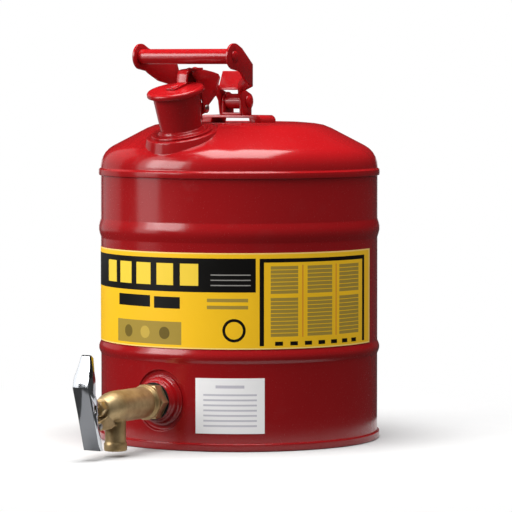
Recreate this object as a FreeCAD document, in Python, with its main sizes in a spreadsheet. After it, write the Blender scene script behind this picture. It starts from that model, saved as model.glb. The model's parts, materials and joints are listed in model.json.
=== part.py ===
import FreeCAD, Part
import math
import os

import Sketcher
from FreeCAD import Placement, Rotation, Vector

# Five gallon laboratory safety can, standing on its chime. Millimetres, +Z up.
# The origin is on the floor at the middle of the can. The spout, the handle and the
# faucet share the plane X = 0 and point towards -Y. The grip lies along X.

SIZES = [
    # Can
    ("can_radius", 146.85, "outside of the cylindrical wall"),
    ("sheet_wall", 1.0, "sheet steel of shell, dome and pan"),
    ("seam_out", 2.35, "how far the rolled seams stand out from the wall"),
    ("seam_gap", 0.1, "space left between pieces that are rolled or welded together"),
    ("chime_height", 8.5, "bottom seam"),
    ("pan_floor", 9.0, "inside bottom of the can above the table"),
    ("seam_bottom", 279.3, "lower edge of the top seam"),
    ("seam_height", 6.4, "height of the top seam"),
    ("rib_rise", 2.3, "how far the rolled ribs stand out"),
    ("low_rib_height", 97.0, "middle of the lower rib"),
    ("low_rib_width", 14.0, ""),
    ("high_rib_height", 223.5, "middle of the upper rib"),
    ("high_rib_width", 20.0, ""),
    # Dome
    ("shoulder_rise", 24.8, "from the seam to the start of the cone"),
    ("shoulder_bend", 26.3, "radius of the shoulder in section"),
    ("shoulder_inset", 13.85, "from the wall in to where the shoulder meets the cone"),
    ("cone_inner", 97.0, "radius where the cone starts to level out"),
    ("cone_slope", 27.5, "degrees"),
    ("crown_bend", 46.0, "radius of the bend above the cone in section"),
    ("crown_outer", 80.0, "radius where that bend ends"),
    ("crown_rise", 4.6, "height of that bend"),
    ("bead_outer", 64.0, "radius of the shallow bead round the middle"),
    ("bead_rise", 1.3, ""),
    ("recess_radius", 57.0, "flat middle of the dome"),
    ("recess_depth", 1.0, ""),
    # Spout
    ("spout_inset", 40.85, "from the wall in to the foot of the spout"),
    ("spout_lift", 0.64, "middle of the spout's seat above the cone"),
    ("spout_tilt", 15.0, "degrees, towards the front"),
    ("pad_radius", 37.0, "flat seat pressed into the dome"),
    ("pad_skirt", 43.0, "radius of the seat where it runs into the dome"),
    ("pad_depth", 24.0, ""),
    ("spout_radius", 21.8, "outside of the tube at its foot"),
    ("spout_wall", 1.5, ""),
    ("spout_mouth", 24.4, "outside of the tube under its lip"),
    ("spout_height", 43.0, "from the seat to the lip"),
    ("spout_straight", 8.0, "straight stretch above the seat"),
    ("spout_sink", 6.0, "length of tube below the seat"),
    ("lip_radius", 25.6, ""),
    ("lip_height", 2.5, ""),
    ("flange_radius", 32.3, "weld ring round the foot of the spout"),
    ("flange_thick", 2.6, ""),
    ("flange_collar", 6.0, ""),
    ("arrester_radius", 18.2, "perforated flame arrester tube in the spout"),
    ("arrester_wall", 0.8, ""),
    ("arrester_rim_height", 30.0, "its rim above the seat"),
    ("arrester_length", 90.0, ""),
    ("slot_width", 3.0, ""),
    ("slot_length", 12.0, ""),
    # Cap and lever
    ("moving_gap", 0.3, "space between pieces that move past each other"),
    ("cap_radius", 30.0, ""),
    ("cap_skirt", 27.7, "inside of the rolled edge"),
    ("cap_edge", 3.6, "drop of the rolled edge below the plate"),
    ("cap_plate", 2.1, ""),
    ("gasket_thick", 2.2, ""),
    ("gasket_radius", 26.6, ""),
    ("retainer_radius", 19.0, ""),
    ("retainer_thick", 1.2, ""),
    ("rivet_radius", 2.4, "cap rivet"),
    ("hinge_reach", 38.9, "cap hinge behind the spout's axis"),
    ("hinge_height", 15.6, "cap hinge above the seat"),
    ("hinge_pin_radius", 2.0, ""),
    ("pin_fit", 0.05, "radial clearance of a pin in its hole"),
    ("lug_radius", 5.0, ""),
    ("lug_thick", 1.8, ""),
    ("lug_outer", 5.9, "half width over the hinge lugs"),
    ("saddle_low", 9.5, ""),
    ("saddle_high", 30.0, ""),
    ("saddle_angle", 84.0, "degrees round the spout"),
    ("strap_thick", 2.2, ""),
    ("strap_width", 12.0, ""),
    ("foot_front", 8.0, "strap's foot in front of the cap's middle"),
    ("leg_reach", 12.6, "front of the strap's leg behind the cap's middle"),
    ("strap_lean", 4.6, "how far the leg leans back"),
    ("strap_rise", 15.2, "strap's top above the cap plate"),
    ("strap_end", 46.0, "rear end of the strap behind the spout's axis"),
    ("strap_fall", 5.3, "drop of the strap to its rear end"),
    ("strap_bend", 8.0, "bend radius at the front"),
    ("lever_half", 8.0, "half width over the lever's sides"),
    ("lever_wall", 1.8, ""),
    ("tail_reach", 71.5, "end of the thumb tail"),
    ("tail_height", 40.0, ""),
    ("coil_radius", 3.6, "mean radius of the hinge spring"),
    ("coil_wire", 1.2, ""),
    ("coil_turns", 5.0, ""),
    # Handle
    ("pivot_back", -5.0, "Y of the handle's pivot"),
    ("pivot_rise", 22.9, "handle's pivot above the middle of the dome"),
    ("bridge_rise", 8.4, "top of the bridge above the middle of the dome"),
    ("bridge_half", 39.5, ""),
    ("bridge_gap", 24.5, "half width of the gap under the bridge"),
    ("bridge_thick", 3.0, ""),
    ("bridge_front", -17.0, ""),
    ("bridge_depth", 28.0, ""),
    ("bridge_bend", 6.0, ""),
    ("ear_radius", 10.0, ""),
    ("ear_half", 12.7, "half width over the bracket's ears"),
    ("ear_thick", 2.5, ""),
    ("pivot_radius", 4.0, ""),
    ("rivet_head", 6.5, ""),
    ("rivet_rise", 2.6, ""),
    ("spacer_radius", 8.0, ""),
    ("cheek_thick", 2.4, "pressed steel of the handle"),
    ("arm_half", 15.4, "half width over the handle's arms at the pivot"),
    ("arm_boss", 9.0, "rounded end of each arm"),
    ("grip_half", 57.6, "half length of the grip"),
    ("grip_reach", 92.0, "grip in front of the pivot"),
    ("grip_rise", 47.0, "grip above the pivot"),
    ("grip_radius", 7.9, ""),
    ("grip_wall", 1.2, ""),
    ("grip_ear", 13.5, ""),
    ("rod_radius", 4.0, ""),
    ("rod_head", 5.8, ""),
    ("rod_rise", 1.8, ""),
    # Faucet
    ("faucet_height", 50.8, "axis of the faucet"),
    ("seat_depth", 3.6, "flat seat pressed into the wall, at its middle"),
    ("seat_radius", 30.7, ""),
    ("bung_radius", 26.8, "domed collar on the seat"),
    ("bung_neck", 20.0, "its radius at the hexagon"),
    ("bung_length", 13.8, ""),
    ("thread_radius", 15.0, ""),
    ("thread_length", 24.0, ""),
    ("screen_length", 55.0, "perforated tube behind the faucet"),
    ("washer_thick", 1.2, ""),
    ("hex_flats", 34.0, ""),
    ("hex_length", 11.0, ""),
    ("collar_length", 5.0, ""),
    ("collar_radius", 18.3, ""),
    ("barrel_radius", 16.2, ""),
    ("barrel_length", 73.0, "from the collar to the packing nut"),
    ("nose_radius", 9.5, ""),
    ("nose_length", 25.0, ""),
    ("outlet_reach", 49.5, "axis of the outlet beyond the collar"),
    ("outlet_radius", 10.7, ""),
    ("outlet_bore", 7.6, ""),
    ("outlet_bottom", 6.0, "height of the outlet above the table"),
    ("outlet_lip", 11.8, ""),
    ("lip_length", 8.0, ""),
    ("valve_reach", 30.0, "valve's seat beyond the collar"),
    ("seat_bore", 7.0, ""),
    ("seat_wall", 4.0, ""),
    ("chamber_radius", 11.6, ""),
    ("chamber_length", 34.0, ""),
    ("disc_radius", 9.8, ""),
    ("stem_radius", 3.0, ""),
    ("nut_flats", 15.0, ""),
    ("nut_length", 8.5, ""),
    ("pin_reach", 12.5, "lever's pivot beyond the barrel"),
    ("pin_drop", 16.5, "lever's pivot below the faucet's axis"),
    ("lever_pin_radius", 2.0, ""),
    ("lug_boss", 4.6, ""),
    ("fork_half", 8.0, "half width over the two lugs"),
    ("fork_gap", 3.9, "half width between them"),
    ("drive_reach", 11.0, "pin of the stem beyond the pivot"),
    ("drive_radius", 1.5, ""),
    ("paddle_half", 9.65, ""),
    ("paddle_wall", 4.6, ""),
    ("paddle_rise", 55.7, "its top above the faucet's axis"),
    ("paddle_drop", 40.8, "its foot below the axis"),
    ("brow_rise", 23.2, "its crease above the axis"),
    ("paddle_reach", 35.5, "crease beyond the barrel"),
    # Labels
    ("label_thick", 0.3, ""),
    ("band_bottom", 105.2, ""),
    ("band_top", 203.7, ""),
    ("band_angle", 203.8, "degrees round the can"),
    ("notice_bottom", 18.6, ""),
    ("notice_top", 75.6, ""),
    ("notice_angle", 27.9, "degrees round the can"),
    ("notice_turn", 30.2, "degrees from the front to its middle"),
]

doc = FreeCAD.newDocument("SafetyCan")
sheet = doc.addObject("Spreadsheet::Sheet", "Sizes")


class Dim:
    """A size: its number now, and the expression that gives it from the sheet."""

    def __init__(self, value, text):
        self.value = float(value)
        self.text = text

    def joined(self, other, sign, value):
        return Dim(value, "(%s %s %s)" % (self.text, sign, dim(other).text))

    def __add__(self, other):
        return self.joined(other, "+", self.value + dim(other).value)

    def __sub__(self, other):
        return self.joined(other, "-", self.value - dim(other).value)

    def __mul__(self, other):
        return self.joined(other, "*", self.value * dim(other).value)

    def __truediv__(self, other):
        return self.joined(other, "/", self.value / dim(other).value)

    def __radd__(self, other):
        return dim(other) + self

    def __rsub__(self, other):
        return dim(other) - self

    def __rmul__(self, other):
        return dim(other) * self

    def __neg__(self):
        return dim(0) - self


def dim(number):
    return number if isinstance(number, Dim) else Dim(number, "%.6g" % number)


def sine(angle):
    return Dim(math.sin(math.radians(angle.value)), "sin(%s)" % angle.text)


def cosine(angle):
    return Dim(math.cos(math.radians(angle.value)), "cos(%s)" % angle.text)


def tangent(angle):
    return Dim(math.tan(math.radians(angle.value)), "tan(%s)" % angle.text)


class Sizes:
    """The sheet's cells by name."""


s = Sizes()
for row, (name, number, note) in enumerate(SIZES, start=1):
    sheet.set("A%d" % row, name)
    sheet.set("B%d" % row, str(number))
    sheet.set("C%d" % row, note)
    sheet.setAlias("B%d" % row, name)
    setattr(s, name, Dim(number, "Sizes." + name))
doc.recompute()


def bind(thing, field, size):
    """Tie one property to the sheet."""
    size = dim(size)
    if field.startswith("Constraints") or "." in field:
        thing.setExpression(field, size.text)
    else:
        setattr(thing, field, size.value)
        thing.setExpression(field, size.text)


def new_body(label, base=None, tilt=None, turn=None):
    """A body with its own place: base is a point, tilt a turn about X, turn one about Z."""
    body = doc.addObject("PartDesign::Body", label)
    body.Label = label
    axis, angle = Vector(1, 0, 0), tilt
    if turn is not None:
        axis, angle = Vector(0, 0, 1), turn
    if angle is not None:
        body.Placement = Placement(Vector(0, 0, 0), Rotation(axis, dim(angle).value))
        bind(body, "Placement.Rotation.Angle", angle)
    for letter, size in zip("xyz", base or ()):
        bind(body, "Placement.Base." + letter, size)
    return body


def plane_of(body, role):
    return next(item for item in body.Origin.OriginFeatures if item.Role == role)


def arc_between(start, end, radius):
    """The short arc from start to end: its centre lies left of the way for a positive radius."""
    middle = (start + end) * 0.5
    chord = end - start
    side = Vector(-chord.y, chord.x, 0).normalize()
    rise = math.sqrt(max(radius * radius - chord.Length * chord.Length / 4, 0))
    centre = middle + side * (rise if radius > 0 else -rise)
    low, high = (start, end) if radius > 0 else (end, start)
    angles = [math.atan2(point.y - centre.y, point.x - centre.x) for point in (low, high)]
    circle = Part.Circle(centre, Vector(0, 0, 1), abs(radius))
    return Part.ArcOfCircle(circle, *angles)


def outline(body, role, name, *loops):
    """A sketch of closed loops. Each point is (x, y), or (x, y, radius) when an arc ends there."""
    sketch = body.newObject("Sketcher::SketchObject", name)
    sketch.AttachmentSupport = [(plane_of(body, role), "")]
    sketch.MapMode = "FlatFace"
    for loop in loops:
        first = sketch.GeometryCount
        count = len(loop)
        spots = [Vector(dim(point[0]).value, dim(point[1]).value, 0) for point in loop]
        starts, ends = [], []
        for index in range(count):
            follower = loop[(index + 1) % count]
            start, end = spots[index], spots[(index + 1) % count]
            backward = len(follower) == 3 and dim(follower[2]).value < 0
            if len(follower) == 3:
                sketch.addGeometry(arc_between(start, end, dim(follower[2]).value), False)
            else:
                sketch.addGeometry(Part.LineSegment(start, end), False)
            starts.append(2 if backward else 1)
            ends.append(1 if backward else 2)
        for index in range(count):
            here, there = first + index, first + (index + 1) % count
            after = (index + 1) % count
            sketch.addConstraint(Sketcher.Constraint("Coincident", here, ends[index], there, starts[after]))
            for kind, size in (("DistanceX", loop[index][0]), ("DistanceY", loop[index][1])):
                rule = Sketcher.Constraint(kind, here, starts[index], dim(size).value)
                bind(sketch, "Constraints[%d]" % sketch.addConstraint(rule), size)
            follower = loop[after]
            if len(follower) == 3:
                radius = follower[2] if dim(follower[2]).value > 0 else -dim(follower[2])
                rule = Sketcher.Constraint("Radius", here, dim(radius).value)
                bind(sketch, "Constraints[%d]" % sketch.addConstraint(rule), radius)
    return sketch


def rounds(body, role, name, circles):
    """A sketch of whole circles, each (x, y, radius)."""
    sketch = body.newObject("Sketcher::SketchObject", name)
    sketch.AttachmentSupport = [(plane_of(body, role), "")]
    sketch.MapMode = "FlatFace"
    for across, up, radius in circles:
        centre = Vector(dim(across).value, dim(up).value, 0)
        number = sketch.addGeometry(Part.Circle(centre, Vector(0, 0, 1), dim(radius).value), False)
        for rule, size in (
            (Sketcher.Constraint("DistanceX", number, 3, centre.x), across),
            (Sketcher.Constraint("DistanceY", number, 3, centre.y), up),
            (Sketcher.Constraint("Radius", number, dim(radius).value), radius),
        ):
            bind(sketch, "Constraints[%d]" % sketch.addConstraint(rule), size)
    return sketch


def revolve(body, name, *loops, kind="PartDesign::Revolution", angle=360, role="XZ_Plane"):
    """Turn an outline about the body's own Z axis."""
    feature = body.newObject(kind, name)
    feature.Profile = outline(body, role, name + "_section", *loops)
    feature.ReferenceAxis = (feature.Profile[0], ["V_Axis"])
    bind(feature, "Angle", angle)
    feature.Midplane = dim(angle).value < 360
    return feature


def pad(body, name, sketch, length, reverse=False, both=True):
    feature = body.newObject("PartDesign::Pad", name)
    feature.Profile = sketch
    bind(feature, "Length", length)
    feature.SideType = "Symmetric" if both else "One side"
    feature.Reversed = reverse
    return feature


def pocket(body, name, sketch, length, reverse=False, both=True):
    """Cut a sketch's area out of the body, and make sure that something was cut."""
    doc.recompute()
    before = body.Shape.Volume
    feature = body.newObject("PartDesign::Pocket", name)
    feature.Profile = sketch
    bind(feature, "Length", length)
    feature.SideType = "Symmetric" if both else "One side"
    feature.Reversed = reverse
    doc.recompute()
    if not body.Shape.Volume < before - 1e-3:
        raise RuntimeError(name + " cuts nothing")
    return feature


def edges_at(shape, spots, across="x"):
    """Names of the straight edges along one axis that pass through the given section points."""
    names = []
    for number, edge in enumerate(shape.Edges, start=1):
        ends = [vertex.Point for vertex in edge.Vertexes]
        if len(ends) != 2:
            continue
        flat = [(point.y, point.z) if across == "x" else (point.x, point.z) for point in ends]
        along = abs(ends[0].x - ends[1].x) if across == "x" else abs(ends[0].y - ends[1].y)
        for spot in spots:
            here = tuple(dim(size).value for size in spot)
            near = all(math.dist(pair, here) < 0.01 for pair in flat)
            if near and along > 0.5:
                names.append("Edge%d" % number)
    return names


def soften(body, name, base, spots, radius, across="x"):
    """Round the edges of base that run along one axis through the given section points."""
    doc.recompute()
    feature = body.newObject("PartDesign::Fillet", name)
    feature.Base = (base, edges_at(base.Shape, spots, across))
    bind(feature, "Radius", radius)
    return feature


def cut(label, base, *tools):
    """Take tools from base, one after the other."""
    result = base
    for number, tool in enumerate(tools, start=1):
        step = doc.addObject("Part::Cut", "%s_cut_%d" % (label, number))
        step.Base = result
        step.Tool = tool
        result = step
    result.Label = label
    return result


def cylinder(label, radius, height, base, tilt=None):
    item = doc.addObject("Part::Cylinder", label)
    bind(item, "Radius", radius)
    bind(item, "Height", height)
    if tilt is not None:
        item.Placement = Placement(Vector(0, 0, 0), Rotation(Vector(1, 0, 0), dim(tilt).value))
        bind(item, "Placement.Rotation.Angle", tilt)
    for letter, size in zip("xyz", base):
        bind(item, "Placement.Base." + letter, size)
    return item


def rod(body, name, radius, half, head, rise, at=(0, 0)):
    """A pin along X with a domed head at each end, its middle at a point of the body's YZ plane."""
    shank = pad(body, name + "_shank", rounds(body, "YZ_Plane", name + "_round", [(*at, radius)]), half * 2)
    for end, side in (("left", -1), ("right", 1)):
        cap = body.newObject("PartDesign::AdditiveCone", "%s_%s_head" % (name, end))
        bind(cap, "Radius1", head)
        bind(cap, "Radius2", head * 0.62)
        bind(cap, "Height", rise)
        cap.Placement = Placement(Vector(0, 0, 0), Rotation(Vector(0, 1, 0), 90 * side))
        for letter, size in zip("xyz", (half * side, *at)):
            bind(cap, "Placement.Base." + letter, size)
    return shank


# Heights and places that follow from the sizes
SEAM_RADIUS = s.can_radius + s.seam_out
CONE_OUTER = s.can_radius - s.shoulder_inset
SPOUT_REACH = s.can_radius - s.spout_inset
SEAM_TOP = s.seam_bottom + s.seam_height
DOME_START = SEAM_TOP + 1.3
CONE_LOW = SEAM_TOP + s.shoulder_rise
CONE_HIGH = CONE_LOW + (CONE_OUTER - s.cone_inner) * tangent(s.cone_slope)
CROWN = CONE_HIGH + s.crown_rise
BEAD = CROWN + s.bead_rise
RECESS = BEAD - s.recess_depth
SPOUT_FOOT = CONE_LOW + (CONE_OUTER - SPOUT_REACH) * tangent(s.cone_slope) + s.spout_lift
SPOUT_BASE = (0, -SPOUT_REACH, SPOUT_FOOT)
PIVOT_HEIGHT = RECESS + s.pivot_rise
BRIDGE_TOP = RECESS + s.bridge_rise
GRIP_FRONT = s.pivot_back - s.grip_reach
GRIP_HEIGHT = PIVOT_HEIGHT + s.grip_rise
FAUCET_BASE = (0, 0, s.faucet_height)
FAUCET_TILT = 90


def local_faucet(height):
    """A height above the table, as a height above the faucet's axis."""
    return height - s.faucet_height


def wall_path(radius):
    """One face of the shell's wall from bottom to top, with both ribs."""
    points = [(radius, s.seam_gap * 20)]
    for middle, width in ((s.low_rib_height, s.low_rib_width), (s.high_rib_height, s.high_rib_width)):
        bend = (width * width / 4 + s.rib_rise * s.rib_rise) / (s.rib_rise * 2)
        points.append((radius, middle - width / 2))
        points.append((radius + s.rib_rise, middle, bend))
        points.append((radius, middle + width / 2, bend))
    points.append((radius, SEAM_TOP - s.sheet_wall - 1))
    return points


FLAT = s.can_radius - s.seat_depth


def across_can(label, radius, start, end):
    """A cylinder along -Y on the faucet's axis."""
    item = cylinder(label, radius, dim(end) - start, FAUCET_BASE, FAUCET_TILT)
    bind(item, "Placement.Base.y", -start)
    return item


def body_shell():
    body = new_body("shell_wall")
    outside = wall_path(s.can_radius)
    inside = wall_path(s.can_radius - s.sheet_wall)
    # walked downwards, each arc ends where it started and bends the other way
    back = []
    for number in range(len(inside) - 1, -1, -1):
        point = inside[number]
        above = inside[number + 1] if number + 1 < len(inside) else ()
        back.append((point[0], point[1]) + ((-above[2],) if len(above) == 3 else ()))
    revolve(body, "wall", outside + back)
    rim = doc.addObject("Part::Common", "seat_rim")
    rim.Base = cylinder("shell_fill", s.can_radius, s.faucet_height * 2, (0, 0, 0))
    rim.Tool = across_can("seat_block", s.seat_radius + s.sheet_wall, FLAT - s.sheet_wall, s.can_radius + 5)
    wall = doc.addObject("Part::Fuse", "shell_and_rim")
    wall.Base, wall.Tool = body, rim
    dish = across_can("seat_dish", s.seat_radius, FLAT, s.can_radius + 5)
    hole = across_can("faucet_hole", s.thread_radius + s.moving_gap, FLAT - 15, s.can_radius + 5)
    return cut("body_shell", wall, dish, hole)


def bottom_pan():
    body = new_body("bottom_pan")
    wall, inner = s.sheet_wall, s.can_radius - s.sheet_wall
    revolve(body, "pan", [
        (0, s.pan_floor - wall),
        (s.can_radius - 8, s.pan_floor - wall),
        (s.can_radius - 3.4, 1.5),
        (s.can_radius - 1.9, 0, wall * 2.4),
        (SEAM_RADIUS - 1.5, 0),
        (SEAM_RADIUS, 1.5, wall * 1.5),
        (SEAM_RADIUS, s.chime_height - 0.6),
        (SEAM_RADIUS - 0.6, s.chime_height),
        (s.can_radius + s.seam_gap, s.chime_height),
        (s.can_radius + s.seam_gap, s.seam_gap * 18),
        (inner - s.seam_gap, s.seam_gap * 18),
        (s.can_radius - 6.8, s.pan_floor),
        (0, s.pan_floor),
    ])
    return body


def dome_section(inset):
    """The dome's section, drawn in from the outside by inset."""
    side, rise = inset * sine(s.cone_slope), inset * cosine(s.cone_slope)
    return [
        (s.can_radius - inset + 0.3, DOME_START),
        (CONE_OUTER - side, CONE_LOW - rise, s.shoulder_bend - inset),
        (s.cone_inner - side, CONE_HIGH - rise),
        (s.crown_outer, CROWN - inset, s.crown_bend - inset),
        (s.bead_outer, BEAD - inset),
        (s.recess_radius, RECESS - inset),
        (0, RECESS - inset),
    ]


def dome_form(label, rim, inset):
    """The dome as a full body with the flat seat for the spout, or the hollow inside it."""
    body = new_body(label)
    revolve(body, label + "_turned", rim + dome_section(inset) + [(0, s.seam_bottom)])
    seat = body.newObject("PartDesign::AdditiveCone", label + "_seat")
    bind(seat, "Radius1", s.pad_skirt - inset)
    bind(seat, "Radius2", s.pad_radius - inset)
    bind(seat, "Height", s.pad_depth)
    level = body.newObject("PartDesign::SubtractiveCylinder", label + "_level")
    bind(level, "Radius", s.pad_radius + inset)
    bind(level, "Height", s.pad_depth)
    for item, low in ((seat, -s.pad_depth - inset), (level, -dim(inset))):
        item.Placement = Placement(Vector(0, 0, 0), Rotation(Vector(1, 0, 0), s.spout_tilt.value))
        bind(item, "Placement.Rotation.Angle", s.spout_tilt)
        bind(item, "Placement.Base.y", -SPOUT_REACH - low * sine(s.spout_tilt))
        bind(item, "Placement.Base.z", SPOUT_FOOT + low * cosine(s.spout_tilt))
    return body


def top_dome():
    lap = s.can_radius + s.seam_gap
    under = SEAM_TOP - s.sheet_wall - 0.9
    outside = dome_form("dome_outside", [
        (SEAM_RADIUS, s.seam_bottom),
        (SEAM_RADIUS, SEAM_TOP - 0.8),
        (SEAM_RADIUS - 0.8, SEAM_TOP),
        (s.can_radius + 0.3, SEAM_TOP + 0.4),
    ], 0)
    hollow = dome_form("dome_hollow", [
        (lap, s.seam_bottom - 1),
        (lap, under),
        (s.can_radius - s.sheet_wall + 0.3, under),
    ], s.sheet_wall)
    base = (0, -SPOUT_REACH + s.pad_depth * sine(s.spout_tilt),
            SPOUT_FOOT - s.pad_depth * cosine(s.spout_tilt))
    hole = cylinder("spout_hole", s.spout_radius + s.seam_gap, s.pad_depth * 2, base, s.spout_tilt)
    return cut("top_dome", outside, hollow, hole)


def spout_outside(height):
    """Outer radius of the spout tube at a height above its seat."""
    flare = (s.spout_mouth - s.spout_radius) / (s.spout_height - s.lip_height - s.spout_straight)
    return s.spout_radius + flare * (height - s.spout_straight)


def spout_tube():
    body = new_body("spout_tube", SPOUT_BASE, s.spout_tilt)
    neck = s.spout_height - s.lip_height
    bore = s.spout_radius - s.spout_wall
    revolve(body, "tube", [
        (bore, -s.spout_sink),
        (s.spout_radius, -s.spout_sink),
        (s.spout_radius, s.spout_straight),
        (s.spout_mouth, neck),
        (s.lip_radius, neck + 0.7),
        (s.lip_radius, s.spout_height - 0.7),
        (s.lip_radius - 0.7, s.spout_height),
        (s.spout_mouth - s.spout_wall, s.spout_height),
        (s.spout_mouth - s.spout_wall, neck),
        (bore, s.spout_straight),
    ])
    return body


def spout_flange():
    body = new_body("spout_flange", SPOUT_BASE, s.spout_tilt)
    bore = s.spout_radius + s.seam_gap
    revolve(body, "ring", [
        (bore, 0),
        (s.flange_radius, 0),
        (s.flange_radius, s.flange_thick - 1),
        (s.flange_radius - 1, s.flange_thick, 1),
        (bore + 3.2, s.flange_thick),
        (bore + 1.1, s.flange_collar, -8),
        (bore, s.flange_collar),
    ])
    return body


def perforated_tube(body, name, radius, wall, top, length, rim, columns, rows):
    """A tube closed at its lower end, with rows of slots and a rim at its top."""
    foot = top - length
    revolve(body, name, [
        (0, foot),
        (radius, foot),
        (radius, top),
        (rim, top),
        (rim, top + wall),
        (radius - wall, top + wall),
        (radius - wall, foot + wall),
        (0, foot + wall),
    ])
    pitch = length / (rows + 0.5)
    slots = []
    for row in range(rows):
        low = foot + pitch * (row + 0.5)
        half = s.slot_width / 2
        slots.append([(-half, low), (half, low), (half, low + s.slot_length), (-half, low + s.slot_length)])
    sketch = outline(body, "XZ_Plane", name + "_slots", *slots)
    first = pocket(body, name + "_slot_row", sketch, radius * 2, both=False)
    ring = body.newObject("PartDesign::PolarPattern", name + "_slot_ring")
    ring.Originals = [first]
    ring.Axis = (plane_of(body, "Z_Axis"), [""])
    ring.Angle = 360
    ring.Occurrences = columns
    body.Tip = ring
    return body


def flame_arrester():
    body = new_body("flame_arrester", SPOUT_BASE, s.spout_tilt)
    rim = spout_outside(s.arrester_rim_height) - s.spout_wall - s.seam_gap
    return perforated_tube(body, "screen", s.arrester_radius, s.arrester_wall,
                           s.arrester_rim_height, s.arrester_length, rim, 10, 4)


# Cap, its lever and its hinge, all in the spout's own frame
GASKET_LOW = s.spout_height + s.moving_gap
PLATE_LOW = GASKET_LOW + s.gasket_thick
PLATE_TOP = PLATE_LOW + s.cap_plate
STRAP_TOP = PLATE_TOP + s.strap_rise
HINGE = (s.hinge_reach, s.hinge_height)


def spout_cap():
    body = new_body("spout_cap", SPOUT_BASE, s.spout_tilt)
    edge = PLATE_LOW - s.cap_edge
    revolve(body, "plate", [
        (s.rivet_radius + s.pin_fit, PLATE_LOW),
        (s.cap_skirt, PLATE_LOW),
        (s.cap_skirt, edge + 1),
        (s.cap_skirt + 1, edge, 1),
        (s.cap_radius - 1, edge),
        (s.cap_radius, edge + 1, 1),
        (s.cap_radius, PLATE_TOP - 2),
        (s.cap_radius - 2.4, PLATE_TOP - 0.5, 2.6),
        (s.strap_width + 2, PLATE_TOP),
        (s.rivet_radius + s.pin_fit, PLATE_TOP),
    ])
    return body


def cap_gasket():
    body = new_body("cap_gasket", SPOUT_BASE, s.spout_tilt)
    revolve(body, "seal", [
        (s.rivet_radius + s.pin_fit, GASKET_LOW),
        (s.gasket_radius - 0.6, GASKET_LOW),
        (s.gasket_radius, GASKET_LOW + 0.6),
        (s.gasket_radius, PLATE_LOW),
        (s.rivet_radius + s.pin_fit, PLATE_LOW),
    ])
    return body


def gasket_retainer():
    body = new_body("gasket_retainer", SPOUT_BASE, s.spout_tilt)
    low = GASKET_LOW - s.retainer_thick
    revolve(body, "plate", [
        (s.rivet_radius + s.pin_fit, low),
        (s.retainer_radius - 1, low),
        (s.retainer_radius, low + 0.6),
        (s.retainer_radius, GASKET_LOW),
        (s.rivet_radius + s.pin_fit, GASKET_LOW),
    ])
    return body


def cap_rivet():
    body = new_body("cap_rivet", SPOUT_BASE, s.spout_tilt)
    low = GASKET_LOW - s.retainer_thick
    high = PLATE_TOP + s.strap_thick
    head = s.rivet_radius * 2.1
    revolve(body, "rivet", [
        (0, low - 1.4),
        (head * 0.7, low - 1.4),
        (head, low),
        (s.rivet_radius, low),
        (s.rivet_radius, high),
        (head, high),
        (head * 0.55, high + 1.7, head),
        (0, high + 1.7),
    ])
    return body


def strap_underside(reach):
    """Height of the strap's sloping underside at a distance behind the spout's axis."""
    slope = s.strap_fall / (s.strap_end - s.leg_reach - s.strap_lean)
    return STRAP_TOP - s.strap_thick - slope * (reach - s.leg_reach - s.strap_lean)


def cap_strap():
    body = new_body("cap_strap", SPOUT_BASE, s.spout_tilt)
    thick = s.strap_thick
    crest = s.leg_reach + s.strap_lean
    corners = [
        (-s.foot_front, PLATE_TOP),
        (s.leg_reach + thick, PLATE_TOP),
        (crest + thick, STRAP_TOP - thick * 1.15),
        (s.strap_end, strap_underside(s.strap_end)),
        (s.strap_end, strap_underside(s.strap_end) + thick),
        (crest, STRAP_TOP),
        (s.leg_reach, PLATE_TOP + thick),
        (-s.foot_front, PLATE_TOP + thick),
    ]
    bar = pad(body, "bar", outline(body, "YZ_Plane", "bar_side", corners), s.strap_width)
    outer = soften(body, "front_bend", bar, [corners[5]], s.strap_bend)
    inner = soften(body, "front_bend_inside", outer, [corners[2]], s.strap_bend - thick)
    soften(body, "foot_bend", inner, [corners[6]], thick)
    holes = rounds(body, "XY_Plane", "rivet_hole", [(0, 0, s.rivet_radius + s.pin_fit)])
    pocket(body, "rivet_opening", holes, STRAP_TOP * 3)
    return body


def lever_top():
    """Points of the lever's top, from its thumb tail to the cap."""
    level = strap_underside(s.strap_end) - s.seam_gap
    return [
        (s.tail_reach, s.tail_height),
        (s.tail_reach - 2, s.tail_height + 4.4),
        (s.tail_reach - 11.5, level - 6.0),
        (s.strap_end, level),
        (s.hinge_reach - 13, strap_underside(s.hinge_reach - 13) - s.seam_gap),
    ]


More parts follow.
